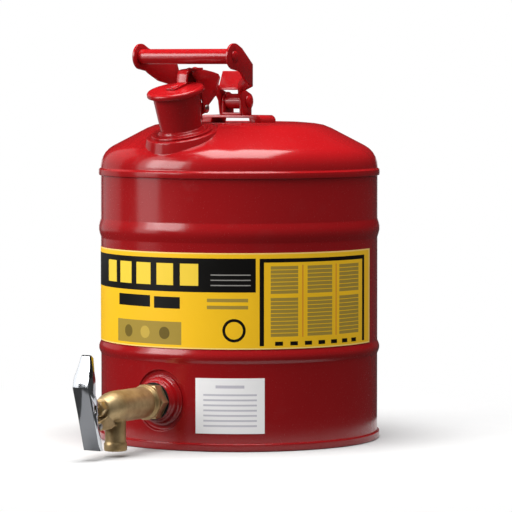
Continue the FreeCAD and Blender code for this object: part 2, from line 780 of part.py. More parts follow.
def cap_lever():
    body = new_body("cap_lever", SPOUT_BASE, s.spout_tilt)
    top = lever_top()
    reach, height = HINGE
    sides = outline(body, "YZ_Plane", "lever_side", [
        (reach - 4.6, height + 1),
        (reach + 4.4, height + 2),
        (reach + 20.2, height + 8.4),
        *top,
        (reach - 14.5, top[4][1] - 3),
        (reach - 5.5, height + 28),
        (reach - 4.6, height + 20),
    ])
    plate = pad(body, "lever_block", sides, s.lever_half * 2)
    soften(body, "lever_bends", plate, [top[1], top[2]], 3)
    pad(body, "lever_bosses", rounds(body, "YZ_Plane", "lever_boss", [(*HINGE, s.lug_radius)]), s.lever_half * 2)
    lower = [(across, up - s.lever_wall) for across, up in top[1:]]
    inside = outline(body, "YZ_Plane", "lever_inside", [
        (reach - 25, height - 10),
        (s.tail_reach + 6, height - 10),
        (s.tail_reach + 6, s.tail_height - 2),
        *lower,
        (reach - 25, lower[-1][1] + 1),
    ])
    pocket(body, "lever_channel", inside, (s.lever_half - s.lever_wall) * 2)
    web = outline(body, "YZ_Plane", "spring_web_side", [
        (reach + 1.1, height + 17),
        (reach + s.coil_radius - s.coil_wire / 2 - s.seam_gap, height + 17),
        (reach + s.coil_radius - s.coil_wire / 2 - s.seam_gap, height + 24),
        (reach + 1.1, height + 24),
    ])
    pad(body, "spring_web", web, (s.lever_half - s.lever_wall / 2) * 2)
    hole = rounds(body, "YZ_Plane", "hinge_hole", [(*HINGE, s.hinge_pin_radius + s.pin_fit)])
    pocket(body, "hinge_opening", hole, s.lever_half * 3)
    return body


def strap_rivets():
    """Two rivets that hold the strap on the lever."""
    body = new_body("strap_rivets", SPOUT_BASE, s.spout_tilt)
    slope = math.degrees(math.atan2(s.strap_fall.value, (s.strap_end - s.leg_reach - s.strap_lean).value))
    for number, reach in enumerate((s.strap_end - 6, s.strap_end - 16), start=1):
        head = body.newObject("PartDesign::AdditiveCone", "head_%d" % number)
        bind(head, "Radius1", 2.6)
        bind(head, "Radius2", 1.5)
        bind(head, "Height", 1.2)
        head.Placement = Placement(Vector(0, 0, 0), Rotation(Vector(1, 0, 0), -slope))
        bind(head, "Placement.Base.y", reach)
        bind(head, "Placement.Base.z", strap_underside(reach) + s.strap_thick + s.seam_gap / 2)
    return body


def hinge_bracket():
    body = new_body("hinge_bracket", SPOUT_BASE, s.spout_tilt)
    low, high = s.saddle_low, s.saddle_high
    revolve(body, "saddle", [
        (spout_outside(low) + s.seam_gap, low),
        (spout_outside(low) + s.seam_gap + s.lug_thick, low),
        (spout_outside(high) + s.seam_gap + s.lug_thick, high),
        (spout_outside(high) + s.seam_gap, high),
    ], angle=s.saddle_angle, role="YZ_Plane")
    reach, height = HINGE
    root = spout_outside(high) + s.seam_gap + s.lug_thick / 2
    lugs = outline(body, "YZ_Plane", "lug_side", [
        (root, low + 1),
        (reach, height - s.lug_radius),
        (reach + s.lug_radius, height, s.lug_radius),
        (reach, height + s.lug_radius, s.lug_radius),
        (root, high - 2),
    ])
    pad(body, "lugs", lugs, s.lug_outer * 2)
    throat = root + s.lug_thick
    gap = outline(body, "YZ_Plane", "lug_gap_side", [
        (throat, 0),
        (reach + s.lug_radius * 2, 0),
        (reach + s.lug_radius * 2, high + 5),
        (throat, high + 5),
    ])
    pocket(body, "lug_gap", gap, (s.lug_outer - s.lug_thick) * 2)
    hole = rounds(body, "YZ_Plane", "hinge_hole", [(*HINGE, s.hinge_pin_radius + s.pin_fit)])
    pocket(body, "hinge_opening", hole, s.lever_half * 3)
    return body


def cap_hinge_pin():
    body = new_body("cap_hinge_pin", SPOUT_BASE, s.spout_tilt)
    rod(body, "pin", s.hinge_pin_radius, s.lever_half + s.moving_gap, s.hinge_pin_radius * 1.8, 1.4, HINGE)
    return body


def coil(body, name, mean, wire, length, turns):
    """A round wire wound about the body's own Z axis, its middle turn at z = length / 2."""
    helix = body.newObject("PartDesign::AdditiveHelix", name)
    helix.Profile = rounds(body, "XZ_Plane", name + "_wire", [(mean, 0, wire / 2)])
    helix.ReferenceAxis = (helix.Profile[0], ["V_Axis"])
    helix.Mode = "height-turns-angle"
    bind(helix, "Height", length)
    bind(helix, "Turns", turns)
    return helix


def cap_spring():
    """Torsion spring on the hinge pin. One leg bears on the bracket, the other on the lever's web."""
    reach, height = HINGE
    length = s.coil_turns * s.coil_wire * 1.12
    body = new_body("cap_spring")
    coil(body, "coil", s.coil_radius, s.coil_wire, length, s.coil_turns)
    for name, turned, low, long in (("web_leg", 0, 0, 24), ("bracket_leg", 180, length, 9.5)):
        leg = body.newObject("PartDesign::AdditiveCylinder", name)
        bind(leg, "Radius", s.coil_wire / 2)
        bind(leg, "Height", long)
        leg.Placement = Placement(Vector(0, 0, 0), Rotation(Vector(1, 0, 0), -90 + turned))
        bind(leg, "Placement.Base.x", s.coil_radius)
        bind(leg, "Placement.Base.z", low)
    # the coil's axis turns from Z to X, its first leg points up
    across = Rotation(Vector(0, 0, 1), Vector(1, 0, 0))
    stand = Rotation(Vector(0, 1, 0), 90) if across.isNull() else across
    tilt = Rotation(Vector(1, 0, 0), s.spout_tilt.value)
    spin = Rotation(Vector(0, 0, 1), 90)
    body.Placement = Placement(Vector(0, 0, 0), tilt.multiply(stand).multiply(spin))
    lean = (sine(s.spout_tilt), cosine(s.spout_tilt))
    bind(body, "Placement.Base.x", -length / 2)
    bind(body, "Placement.Base.y", -SPOUT_REACH + reach * lean[1] - height * lean[0])
    bind(body, "Placement.Base.z", SPOUT_FOOT + reach * lean[0] + height * lean[1])
    return body


# Handle, its bracket and its bridge
PIVOT = (s.pivot_back, PIVOT_HEIGHT)
GRIP = (GRIP_FRONT, GRIP_HEIGHT)


def bracket_bridge():
    body = new_body("bracket_bridge")
    foot, top = RECESS + s.seam_gap, BRIDGE_TOP
    corners = [
        (-s.bridge_half, foot),
        (-s.bridge_gap, foot),
        (-s.bridge_gap + 1, top - s.bridge_thick),
        (s.bridge_gap - 1, top - s.bridge_thick),
        (s.bridge_gap, foot),
        (s.bridge_half, foot),
        (s.bridge_half, top),
        (-s.bridge_half, top),
    ]
    bar = pad(body, "bar", outline(body, "XZ_Plane", "bar_front", corners), s.bridge_depth, both=False)
    soften(body, "shoulders", bar, corners[6:], s.bridge_bend, across="y")
    bind(body, "Placement.Base.y", s.bridge_front + s.bridge_depth)
    return body


def handle_bracket():
    body = new_body("handle_bracket")
    back, height = PIVOT
    base = BRIDGE_TOP + s.seam_gap / 2
    ears = outline(body, "YZ_Plane", "ear_side", [
        (back - s.ear_radius, base),
        (back + s.ear_radius, base),
        (back + s.ear_radius, height),
        (back, height + s.ear_radius, s.ear_radius),
        (back - s.ear_radius, height, s.ear_radius),
    ])
    pad(body, "ears", ears, s.ear_half * 2)
    floor = base + s.ear_thick
    between = outline(body, "YZ_Plane", "ear_gap_side", [
        (back - s.ear_radius * 2, floor),
        (back + s.ear_radius * 2, floor),
        (back + s.ear_radius * 2, height + s.ear_radius * 2),
        (back - s.ear_radius * 2, height + s.ear_radius * 2),
    ])
    pocket(body, "ear_gap", between, (s.ear_half - s.ear_thick) * 2)
    hole = rounds(body, "YZ_Plane", "pivot_hole", [(*PIVOT, s.pivot_radius + s.pin_fit)])
    pocket(body, "pivot_opening", hole, s.ear_half * 3)
    return body


def pivot_spacer():
    body = new_body("pivot_spacer")
    ring = rounds(body, "YZ_Plane", "ring", [
        (*PIVOT, s.spacer_radius),
        (*PIVOT, s.pivot_radius + s.pin_fit),
    ])
    pad(body, "sleeve", ring, (s.ear_half - s.ear_thick - s.seam_gap) * 2)
    return body


def pivot_rivet():
    body = new_body("pivot_rivet")
    rod(body, "rivet", s.pivot_radius, s.arm_half + s.moving_gap, s.rivet_head, s.rivet_rise, PIVOT)
    return body


def cheek_plan(side):
    """Plan of one cheek: square at the grip, drawn in to the bracket, then along the arm."""
    face = s.grip_half + s.cheek_thick
    outer = [
        (face, GRIP_FRONT - s.grip_ear - 2),
        (face, GRIP_FRONT + s.grip_ear),
        (s.grip_half - 7.6, GRIP_FRONT + 48.4),
        (s.arm_half, s.pivot_back - 15.5),
        (s.arm_half, s.pivot_back + s.arm_boss + 2),
    ]
    thin = s.cheek_thick
    inner = [(across - thin, along - thin * 0.6) for across, along in reversed(outer)]
    return [(across * side, along) for across, along in outer + inner]


def handle_side():
    """Side view of the pressed frame, from the grip down to the pivot and back."""
    front, high = GRIP
    back, low = PIVOT
    ear, boss = s.grip_ear, s.arm_boss
    return [
        (front - ear * 0.09, high - ear * 0.996, ear),
        (front + 10, high - 15.2),
        (front + 27, high - 25.5),
        (back - 19, low + 9.5),
        (back - 12.5, low + 1),
        (back - 9.5, BRIDGE_TOP + s.moving_gap),
        (back - 5, BRIDGE_TOP + s.moving_gap),
        (back, low - boss),
        (back + boss, low, boss),
        (back + boss * 0.5, low + boss * 0.866, boss),
        (back - 7, low + 12.5),
        (back - 36, low + 31.8),
        (back - 42.5, low + 33),
        (back - 43.5, low + 39),
        (front + ear * 0.42, high + ear * 0.9075),
        (front - ear, high, ear),
    ]


def handle_frame():
    plan = new_body("handle_plan")
    low = BRIDGE_TOP - 5
    sketch = outline(plan, "XY_Plane", "cheeks", cheek_plan(1), cheek_plan(-1))
    pad(plan, "cheek_walls", sketch, GRIP_HEIGHT + s.grip_ear * 2 - low, both=False)
    bind(plan, "Placement.Base.z", low)
    view = new_body("handle_view")
    pad(view, "side_view", outline(view, "YZ_Plane", "frame_side", handle_side()), s.grip_half * 3)
    cheeks = doc.addObject("Part::Common", "handle_cheeks")
    cheeks.Base, cheeks.Tool = plan, view
    web = new_body("handle_web")
    foot, lean, thick = PIVOT_HEIGHT + 12, 8.5, s.cheek_thick
    front = s.pivot_back - 12.2
    tab = outline(web, "YZ_Plane", "web_side", [
        (front, foot), (front + thick, foot), (front + thick + lean, foot + 20), (front + lean, foot + 20)])
    plate = pad(web, "web_plate", tab, s.arm_half * 2)
    soften(web, "web_edge", plate, [(front + lean, foot + 20)], thick / 2)
    joined = doc.addObject("Part::MultiFuse", "handle_joined")
    joined.Shapes = [cheeks, web]
    pivot = cylinder("handle_pivot_hole", s.pivot_radius + s.pin_fit, s.arm_half * 4,
                     (-s.arm_half * 2, *PIVOT))
    grip = cylinder("handle_rod_hole", s.rod_radius + s.pin_fit, s.grip_half * 4, (-s.grip_half * 2, *GRIP))
    for hole in (pivot, grip):
        place = hole.Placement
        place.Rotation = Rotation(Vector(0, 1, 0), 90)
        hole.Placement = place
    return cut("handle_frame", joined, pivot, grip)


def grip_tube():
    body = new_body("grip_tube")
    ring = rounds(body, "YZ_Plane", "ring", [(*GRIP, s.grip_radius), (*GRIP, s.grip_radius - s.grip_wall)])
    pad(body, "tube", ring, (s.grip_half - s.seam_gap) * 2)
    return body


def grip_rod():
    body = new_body("grip_rod")
    rod(body, "rod", s.rod_radius, s.grip_half + s.cheek_thick + s.seam_gap, s.rod_head, s.rod_rise, GRIP)
    return body


# Faucet: each body's own Z axis points out of the can along -Y, its own Y axis points up
BUNG_START = FLAT + s.seam_gap / 2
BUNG_END = BUNG_START + s.bung_length
WASHER_END = BUNG_END + s.washer_thick
HEX_END = WASHER_END + s.hex_length
COLLAR_END = HEX_END + s.collar_length
BARREL_END = COLLAR_END + s.barrel_length
NUT_END = BARREL_END + s.nut_length
NOSE_START = BARREL_END - s.nose_length
OUTLET = COLLAR_END + s.outlet_reach
VALVE_SEAT = COLLAR_END + s.valve_reach
CHAMBER_END = VALVE_SEAT + s.chamber_length
PIN_OUT = BARREL_END + s.pin_reach
PIN_UP = s.faucet_height - s.pin_drop
DRIVE_OUT = PIN_OUT + s.drive_reach
THREAD_START = FLAT - s.thread_length / 2


def faucet_bung():
    body = new_body("faucet_bung", FAUCET_BASE, FAUCET_TILT)
    bore = s.thread_radius + s.seam_gap * 2
    revolve(body, "collar", [
        (bore, BUNG_START),
        (s.bung_radius, BUNG_START),
        (s.bung_radius, BUNG_START + 2.2),
        (s.bung_neck + 0.8, BUNG_END - 2.8, 10),
        (s.bung_neck, BUNG_END - 0.8),
        (s.bung_neck - 0.8, BUNG_END),
        (bore, BUNG_END),
    ])
    return body


def nipple_washer():
    body = new_body("nipple_washer", FAUCET_BASE, FAUCET_TILT)
    revolve(body, "ring", [
        (s.thread_radius + s.seam_gap, BUNG_END),
        (s.thread_radius + 4.2, BUNG_END),
        (s.thread_radius + 4.2, WASHER_END),
        (s.thread_radius + s.seam_gap, WASHER_END),
    ])
    return body


def hexagon(flats):
    """Corner points of a hexagon with two flats across Y."""
    corner = flats / (2 * math.cos(math.radians(30)))
    points = []
    for step in range(6):
        angle = math.radians(60 * step)
        points.append((corner * round(math.cos(angle), 9), corner * round(math.sin(angle), 9)))
    return points


def hex_solid(body, name, flats, start, length):
    block = pad(body, name, outline(body, "XY_Plane", name + "_flats", hexagon(flats)), length, both=False)
    block.Profile[0].AttachmentOffset = Placement(Vector(0, 0, start.value), Rotation())
    bind(block.Profile[0], "AttachmentOffset.Base.z", start)
    return block


def faucet_nipple():
    body = new_body("faucet_nipple", FAUCET_BASE, FAUCET_TILT)
    hex_solid(body, "hex", s.hex_flats, WASHER_END, s.hex_length)
    bore = s.seat_bore + 3
    revolve(body, "thread", [
        (bore, THREAD_START),
        (s.thread_radius - 1, THREAD_START),
        (s.thread_radius, THREAD_START + 1),
        (s.thread_radius, WASHER_END),
        (bore, WASHER_END),
    ])
    far = s.hex_flats
    revolve(body, "hex_chamfer", [
        (s.hex_flats / 2 + 0.4, HEX_END + 0.01),
        (far, HEX_END + 0.01),
        (far, HEX_END - 7),
    ], kind="PartDesign::Groove")
    hole = rounds(body, "XY_Plane", "bore_round", [(0, 0, bore)])
    pocket(body, "bore", hole, HEX_END * 3)
    return body


def faucet_screen():
    body = new_body("faucet_screen", FAUCET_BASE, FAUCET_TILT)
    top = FLAT - 1
    radius = s.seat_bore + 2.2
    return perforated_tube(body, "screen", radius, s.arrester_wall, top, s.screen_length, radius + 0.6, 6, 3)


def faucet_body():
    body = new_body("faucet_body", FAUCET_BASE, FAUCET_TILT)
    revolve(body, "barrel", [
        (0, HEX_END),
        (s.collar_radius - 1, HEX_END),
        (s.collar_radius, HEX_END + 1),
        (s.collar_radius, COLLAR_END - 1),
        (s.collar_radius - 1, COLLAR_END),
        (s.barrel_radius - 1.2, COLLAR_END + 1.5),
        (s.barrel_radius, COLLAR_END + 6, 12),
        (s.barrel_radius, NOSE_START),
        (s.nose_radius, BARREL_END, 48),
        (0, BARREL_END),
    ])
    foot = local_faucet(s.outlet_bottom)
    for name, radius, low, high in (
        ("outlet", s.outlet_radius, foot + s.lip_length, 0),
        ("outlet_end", s.outlet_lip, foot, foot + s.lip_length),
    ):
        pipe = body.newObject("PartDesign::AdditiveCylinder", name)
        bind(pipe, "Radius", radius)
        bind(pipe, "Height", dim(high) - low)
        pipe.Placement = Placement(Vector(0, 0, 0), Rotation(Vector(1, 0, 0), -90))
        bind(pipe, "Placement.Base.y", low)
        bind(pipe, "Placement.Base.z", OUTLET)
    pin_up, boss = local_faucet(PIN_UP), s.lug_boss
    lug = outline(body, "YZ_Plane", "lug_side", [
        (-s.nose_radius + 1, BARREL_END - 5),
        (-s.nose_radius - 8, OUTLET + s.outlet_radius - 2),
        (pin_up - boss, PIN_OUT - 18),
        (pin_up - boss, PIN_OUT),
        (pin_up, PIN_OUT + boss, -boss),
        (pin_up + boss, PIN_OUT, -boss),
        (-s.nose_radius + 2, BARREL_END - 1),
    ])
    pad(body, "lever_lugs", lug, s.fork_half * 2)
    throat = outline(body, "YZ_Plane", "lug_gap_side", [
        (pin_up - boss * 2, PIN_OUT - boss * 1.7),
        (pin_up + boss * 1.35, PIN_OUT - boss * 1.7),
        (pin_up + boss * 1.35, PIN_OUT + boss * 2),
        (pin_up - boss * 2, PIN_OUT + boss * 2),
    ])
    pocket(body, "lug_gap", throat, s.fork_gap * 2)
    revolve(body, "waterway", [
        (0, HEX_END - 1),
        (s.seat_bore + 3, HEX_END - 1),
        (s.seat_bore + 3, VALVE_SEAT - s.seat_wall),
        (s.seat_bore, VALVE_SEAT - s.seat_wall),
        (s.seat_bore, VALVE_SEAT),
        (s.chamber_radius, VALVE_SEAT),
        (s.chamber_radius, CHAMBER_END - 6),
        (s.stem_radius + 3, CHAMBER_END),
        (s.stem_radius + s.pin_fit, CHAMBER_END),
        (s.stem_radius + s.pin_fit, BARREL_END + 1),
        (0, BARREL_END + 1),
    ], kind="PartDesign::Groove")
    bore = body.newObject("PartDesign::SubtractiveCylinder", "outlet_bore")
    bind(bore, "Radius", s.outlet_bore)
    bind(bore, "Height", -foot)
    bore.Placement = Placement(Vector(0, 0, 0), Rotation(Vector(1, 0, 0), -90))
    bind(bore, "Placement.Base.y", foot - 1)
    bind(bore, "Placement.Base.z", OUTLET)
    hole = rounds(body, "YZ_Plane", "pin_hole", [(pin_up, PIN_OUT, s.lever_pin_radius + s.pin_fit)])
    pocket(body, "pin_opening", hole, s.fork_half * 4)
    return body


def packing_nut():
    body = new_body("packing_nut", FAUCET_BASE, FAUCET_TILT)
    hex_solid(body, "nut", s.nut_flats, BARREL_END, s.nut_length)
    far = s.nut_flats
    revolve(body, "nut_chamfer", [
        (s.nut_flats / 2 - 0.6, NUT_END + 0.01),
        (far, NUT_END + 0.01),
        (far, NUT_END - 5),
    ], kind="PartDesign::Groove")
    hole = rounds(body, "XY_Plane", "stem_round", [(0, 0, s.stem_radius + s.pin_fit)])
    pocket(body, "stem_hole", hole, NUT_END * 3)
    return body


def valve_stem():
    body = new_body("valve_stem", FAUCET_BASE, FAUCET_TILT)
    face = VALVE_SEAT + s.washer_thick * 2 + s.seam_gap
    end = DRIVE_OUT + s.drive_radius + 0.9
    revolve(body, "rod", [
        (0, face),
        (s.disc_radius, face),
        (s.disc_radius, face + 2.4),
        (s.stem_radius, face + 3.6),
        (s.stem_radius, end - 0.4),
        (s.stem_radius - 0.4, end),
        (0, end),
    ])
    hole = rounds(body, "YZ_Plane", "drive_hole", [(0, DRIVE_OUT, s.drive_radius + s.seam_gap)])
    pocket(body, "drive_opening", hole, s.stem_radius * 4)
    return body


def valve_washer():
    body = new_body("valve_washer", FAUCET_BASE, FAUCET_TILT)
    face = VALVE_SEAT + s.seam_gap
    revolve(body, "washer", [
        (s.stem_radius * 0.7, face),
        (s.disc_radius - 0.3, face),
        (s.disc_radius - 0.3, face + s.washer_thick * 2),
        (s.stem_radius * 0.7, face + s.washer_thick * 2),
    ])
    return body


def valve_screw():
    body = new_body("valve_screw", FAUCET_BASE, FAUCET_TILT)
    face = VALVE_SEAT + s.seam_gap
    revolve(body, "screw", [
        (0, face - 3),
        (s.seat_bore - 2.5, face - 3),
        (s.seat_bore - 1.5, face - 2),
        (s.seat_bore - 1.5, face),
        (s.stem_radius * 0.7 - s.pin_fit, face),
        (s.stem_radius * 0.7 - s.pin_fit, face + s.washer_thick * 2),
        (0, face + s.washer_thick * 2),
    ])
    slot = outline(body, "YZ_Plane", "driver_slot", [
        (-0.6, face - 4), (0.6, face - 4), (0.6, face - 1.8), (-0.6, face - 1.8)])
    pocket(body, "slot", slot, s.seat_bore * 4)
    return body


def valve_spring():
    start = VALVE_SEAT + s.washer_thick * 2 + 4.4
    body = new_body("valve_spring", FAUCET_BASE, FAUCET_TILT)
    length = CHAMBER_END - 6 - start
    coil(body, "coil", s.stem_radius + 3.2, s.coil_wire, length, 5)
    bind(body, "Placement.Base.y", -start)
    return body


def lever_pin():
    body = new_body("lever_pin")
    rod(body, "pin", s.lever_pin_radius, s.fork_half + s.seam_gap, s.lever_pin_radius * 1.6, 1.1,
        (-PIN_OUT, PIN_UP))
    return body


def drive_pin():
    body = new_body("drive_pin")
    ring = rounds(body, "YZ_Plane", "pin_round", [(-DRIVE_OUT, s.faucet_height, s.drive_radius)])
    pad(body, "pin", ring, (s.paddle_half - s.moving_gap) * 2)
    return body


def faucet_lever():
    """Cast paddle, hollow behind, with a tongue between the faucet's lugs and a slot for the stem's pin."""
    body = new_body("faucet_lever")
    front, top = BARREL_END + s.paddle_reach, s.faucet_height + s.paddle_rise
    foot, brow = s.faucet_height - s.paddle_drop, s.faucet_height + s.brow_rise
    side = [
        (-front + 24.4, foot),
        (-front + 15.7, foot + 33),
        (-front + 16.6, s.faucet_height - 4),
        (-front + 16.6, s.faucet_height + 8),
        (-front + 12.4, s.faucet_height + 16),
        (-front + 12.6, top - 16),
        (-front + 14.4, top - 3),
        (-front + 11.2, top),
        (-front + 8.6, top - 1),
        (-front + 2.4, top - 20, -60),
        (-front, brow),
        (-front + 8.7, foot + 35),
        (-front + 18.4, foot),
    ]
    blade = pad(body, "blade", outline(body, "YZ_Plane", "blade_side", side), s.paddle_half * 2)
    soften(body, "crease", blade, [side[10]], 2.5)
    half = s.paddle_half
    corners = [
        [(hand * half * 2, top - 24), (hand * half, top - 24), (hand * half * 0.52, top + 1), (hand * half * 2, top + 1)]
        for hand in (-1, 1)
    ]
    taper = outline(body, "XZ_Plane", "taper_front", *corners)
    pocket(body, "taper", taper, front * 3)
    hollow = outline(body, "YZ_Plane", "hollow_side", [
        (-front + 30, foot + 6),
        (-front + 17.8, foot + 6),
        (-front + 10.2, foot + 34),
        (-front + 8.9, s.faucet_height - 3.3),
        (-front + 5.6, s.faucet_height + 12),
        (-front + 30, s.faucet_height + 12),
    ])
    pocket(body, "hollow", hollow, (half - s.paddle_wall) * 2)
    boss = s.lug_boss
    tongue = outline(body, "YZ_Plane", "tongue_side", [
        (-PIN_OUT, PIN_UP - boss),
        (-PIN_OUT + boss, PIN_UP, boss),
        (-PIN_OUT, PIN_UP + boss, boss),
        (-front + 10.9, PIN_UP + boss + 1),
        (-front + 14.2, PIN_UP - boss - 1.5),
    ])
    pad(body, "tongue", tongue, (s.fork_gap - s.moving_gap) * 2)
    hole = rounds(body, "YZ_Plane", "pin_hole", [(-PIN_OUT, PIN_UP, s.lever_pin_radius + s.pin_fit)])
    pocket(body, "pin_opening", hole, half)
    gap = s.drive_radius + s.moving_gap
    slot = outline(body, "YZ_Plane", "drive_slot_side", [
        (-DRIVE_OUT - gap, s.faucet_height),
        (-DRIVE_OUT, s.faucet_height - gap, gap),
        (-DRIVE_OUT + gap, s.faucet_height, gap),
        (-DRIVE_OUT + gap, s.faucet_height + 4),
        (-DRIVE_OUT, s.faucet_height + 4 + gap, gap),
        (-DRIVE_OUT - gap, s.faucet_height + 4, gap),
    ])
    pocket(body, "drive_slot", slot, half * 2 + 2)
    return body


def label(name, low, high, angle, turn):
    """A printed sheet on the can's wall, its middle turned from the front."""
    body = new_body(name, turn=turn)
    inner = s.can_radius + s.seam_gap / 2
    revolve(body, name + "_sheet", [
        (-inner - s.label_thick, low),
        (-inner, low),
        (-inner, high),
        (-inner - s.label_thick, high),
    ], angle=angle, role="YZ_Plane")
    return body


def wrap_label():
    return label("wrap_label", s.band_bottom, s.band_top, s.band_angle, 0)


def notice_label():
    return label("notice_label", s.notice_bottom, s.notice_top, s.notice_angle, s.notice_turn)


PIECES = [
    body_shell, bottom_pan, top_dome, spout_tube, spout_flange, flame_arrester,
    hinge_bracket, cap_hinge_pin, cap_spring, spout_cap, cap_gasket, gasket_retainer,
    cap_rivet, cap_strap, cap_lever, strap_rivets,
    bracket_bridge, handle_bracket, pivot_spacer, pivot_rivet, handle_frame, grip_tube, grip_rod,
    faucet_bung, nipple_washer, faucet_nipple, faucet_screen, faucet_body, packing_nut,
    valve_stem, valve_washer, valve_screw, valve_spring, lever_pin, drive_pin, faucet_lever,
    wrap_label, notice_label,
]
made = [piece() for piece in PIECES]
doc.recompute()

for item in doc.Objects:
    if "Invalid" in item.State or "Error" in item.State:
        raise RuntimeError("%s failed: %s" % (item.Name, item.State))
os.makedirs("parts", exist_ok=True)
for item in made:
    shape = item.Shape
    if shape.isNull() or not shape.isValid() or not shape.Solids:
        raise RuntimeError(item.Label + " has no valid solid")
    shape.exportStep("parts/%s.step" % item.Label)
    box = shape.BoundBox
    print("%-18s solids %d faces %3d volume %9.1f box %s" % (
        item.Label, len(shape.Solids), len(shape.Faces), shape.Volume,
        " ".join("%.1f..%.1f" % pair for pair in (
            (box.XMin, box.XMax), (box.YMin, box.YMax), (box.ZMin, box.ZMax)))))
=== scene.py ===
import json
import math

import bpy
from bpy.props import FloatProperty, FloatVectorProperty, PointerProperty
from mathutils import Matrix, Vector


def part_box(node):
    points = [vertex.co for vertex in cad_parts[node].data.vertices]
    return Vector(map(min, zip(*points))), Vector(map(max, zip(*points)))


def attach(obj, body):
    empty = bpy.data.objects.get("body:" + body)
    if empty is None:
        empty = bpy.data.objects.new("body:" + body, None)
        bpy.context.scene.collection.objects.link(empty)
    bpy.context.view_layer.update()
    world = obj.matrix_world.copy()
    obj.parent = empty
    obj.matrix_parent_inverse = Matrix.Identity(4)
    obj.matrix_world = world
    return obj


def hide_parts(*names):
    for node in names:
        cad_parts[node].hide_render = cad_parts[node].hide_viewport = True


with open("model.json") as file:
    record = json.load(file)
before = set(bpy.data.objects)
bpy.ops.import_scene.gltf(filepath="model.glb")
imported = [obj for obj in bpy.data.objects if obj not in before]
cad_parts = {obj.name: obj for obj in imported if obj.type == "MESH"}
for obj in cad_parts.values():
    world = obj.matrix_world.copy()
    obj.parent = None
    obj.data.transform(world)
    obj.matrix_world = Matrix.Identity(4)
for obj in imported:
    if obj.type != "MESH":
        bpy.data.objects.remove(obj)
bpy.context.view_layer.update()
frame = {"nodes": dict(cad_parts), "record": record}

bl_info = {
    "name": "Safety Can",
    "version": (1, 0, 0),
    "blender": (4, 5, 0),
    "location": "View3D > Sidebar > Safety Can",
    "description": "Dresses the safety can's solids with their pressed, turned and cast forms",
    "category": "Object",
}

MM = 0.001
TURN = 2 * math.pi
UPRIGHT = (0.0, 0.0, 0.0)
SIDEWAYS = (0, math.radians(90.0), 0)

# Places: a spot in millimetres and a turn
NOWHERE = ((0, 0, 0), UPRIGHT)
IN_SPOUT = ((0, -106.0, 325.2), (math.radians(15.0), 0, 0))
IN_FAUCET = ((0, 0, 50.8), (math.radians(90.0), 0, 0))

# Millimetres, unless said otherwise
SHEET = 1.0  # thickness of the can's sheet steel
RIBS = ((97.0, 14.0), (223.5, 20.0))  # height and width of each
WALL_TOP = 283.7
SEAT_FLAT = 143.25  # the faucet's flat seat, from the can's axis
BAND_HALF = 101.9  # half of the wrap label, in degrees round the can
BAND_FOOT, BAND_HEAD = 105.1, 203.8
MM_PER_DEGREE = TURN / 360 * 147  # along the printed sheets

# Metres and radians
LATHE_MERGE = 0.00001
SOLID_MERGE = 0.000004
FLAT_ANGLE = math.radians(0.4)  # faces of a solid that lie flatter than this are one
EDGE_ANGLE = math.radians(28)  # edges sharper than this are rounded


class CanSizes(bpy.types.PropertyGroup):
    """Sizes that a user would change."""

    wall_radius: FloatProperty(
        name="Wall radius", description="Outside of the can's wall", default=0.14685, unit="LENGTH",
        min=0.05, max=0.4
    )
    rib_rise: FloatProperty(
        name="Rib rise", description="How far the rolled ribs stand out", default=0.0023,
        unit="LENGTH", min=0, max=0.01
    )
    edge_round: FloatProperty(
        name="Edge rounding", description="Rounding on the edges of pressed parts", default=0.00045,
        unit="LENGTH", min=0.0001, max=0.002
    )
    cast_grain: FloatProperty(
        name="Cast mesh size", description="Voxel size of the cast faucet", default=0.0007,
        unit="LENGTH", min=0.0004, max=0.002
    )
    camera_distance: FloatProperty(
        name="Camera distance", description="From the can's axis to the camera", default=3.516,
        unit="LENGTH", min=0.5
    )
    camera_height: FloatProperty(
        name="Camera height", description="Of the camera above the floor", default=0.394,
        unit="LENGTH"
    )
    camera_azimuth: FloatProperty(
        name="Camera azimuth", description="From the faucet's side round to the right",
        default=math.radians(34), subtype="ANGLE"
    )


class CanColours(bpy.types.PropertyGroup):
    """Colours that a user would change."""

    enamel: FloatVectorProperty(
        name="Enamel", description="Baked paint on the sheet steel", default=(0.28, 0.0045, 0.0062),
        subtype="COLOR", min=0, max=1
    )
    brass: FloatVectorProperty(
        name="Brass", description="Cast brass of the faucet", default=(0.62, 0.46, 0.24),
        subtype="COLOR", min=0, max=1
    )
    label: FloatVectorProperty(
        name="Label", description="Ground colour of the wrap label", default=(0.9, 0.52, 0.012),
        subtype="COLOR", min=0, max=1
    )
    ink: FloatVectorProperty(
        name="Ink", description="Dark print on the labels", default=(0.005, 0.0045, 0.004),
        subtype="COLOR", min=0, max=1
    )


def sizes():
    return bpy.context.scene.can_sizes


def colours():
    return bpy.context.scene.can_colours


# Materials


class Wire:
    """A number in a material. Arithmetic on it adds the Math nodes."""

    def __init__(self, shop, socket):
        self.shop, self.socket = shop, socket

    def __add__(self, other):
        return self.shop.math("ADD", self, other)

    def __radd__(self, other):
        return self.shop.math("ADD", other, self)

    def __sub__(self, other):
        return self.shop.math("SUBTRACT", self, other)

    def __rsub__(self, other):
        return self.shop.math("SUBTRACT", other, self)

    def __mul__(self, other):
        return self.shop.math("MULTIPLY", self, other)

    def __rmul__(self, other):
        return self.shop.math("MULTIPLY", other, self)

    def __gt__(self, other):
        return self.shop.math("GREATER_THAN", self, other)

    def __lt__(self, other):
        return self.shop.math("LESS_THAN", self, other)


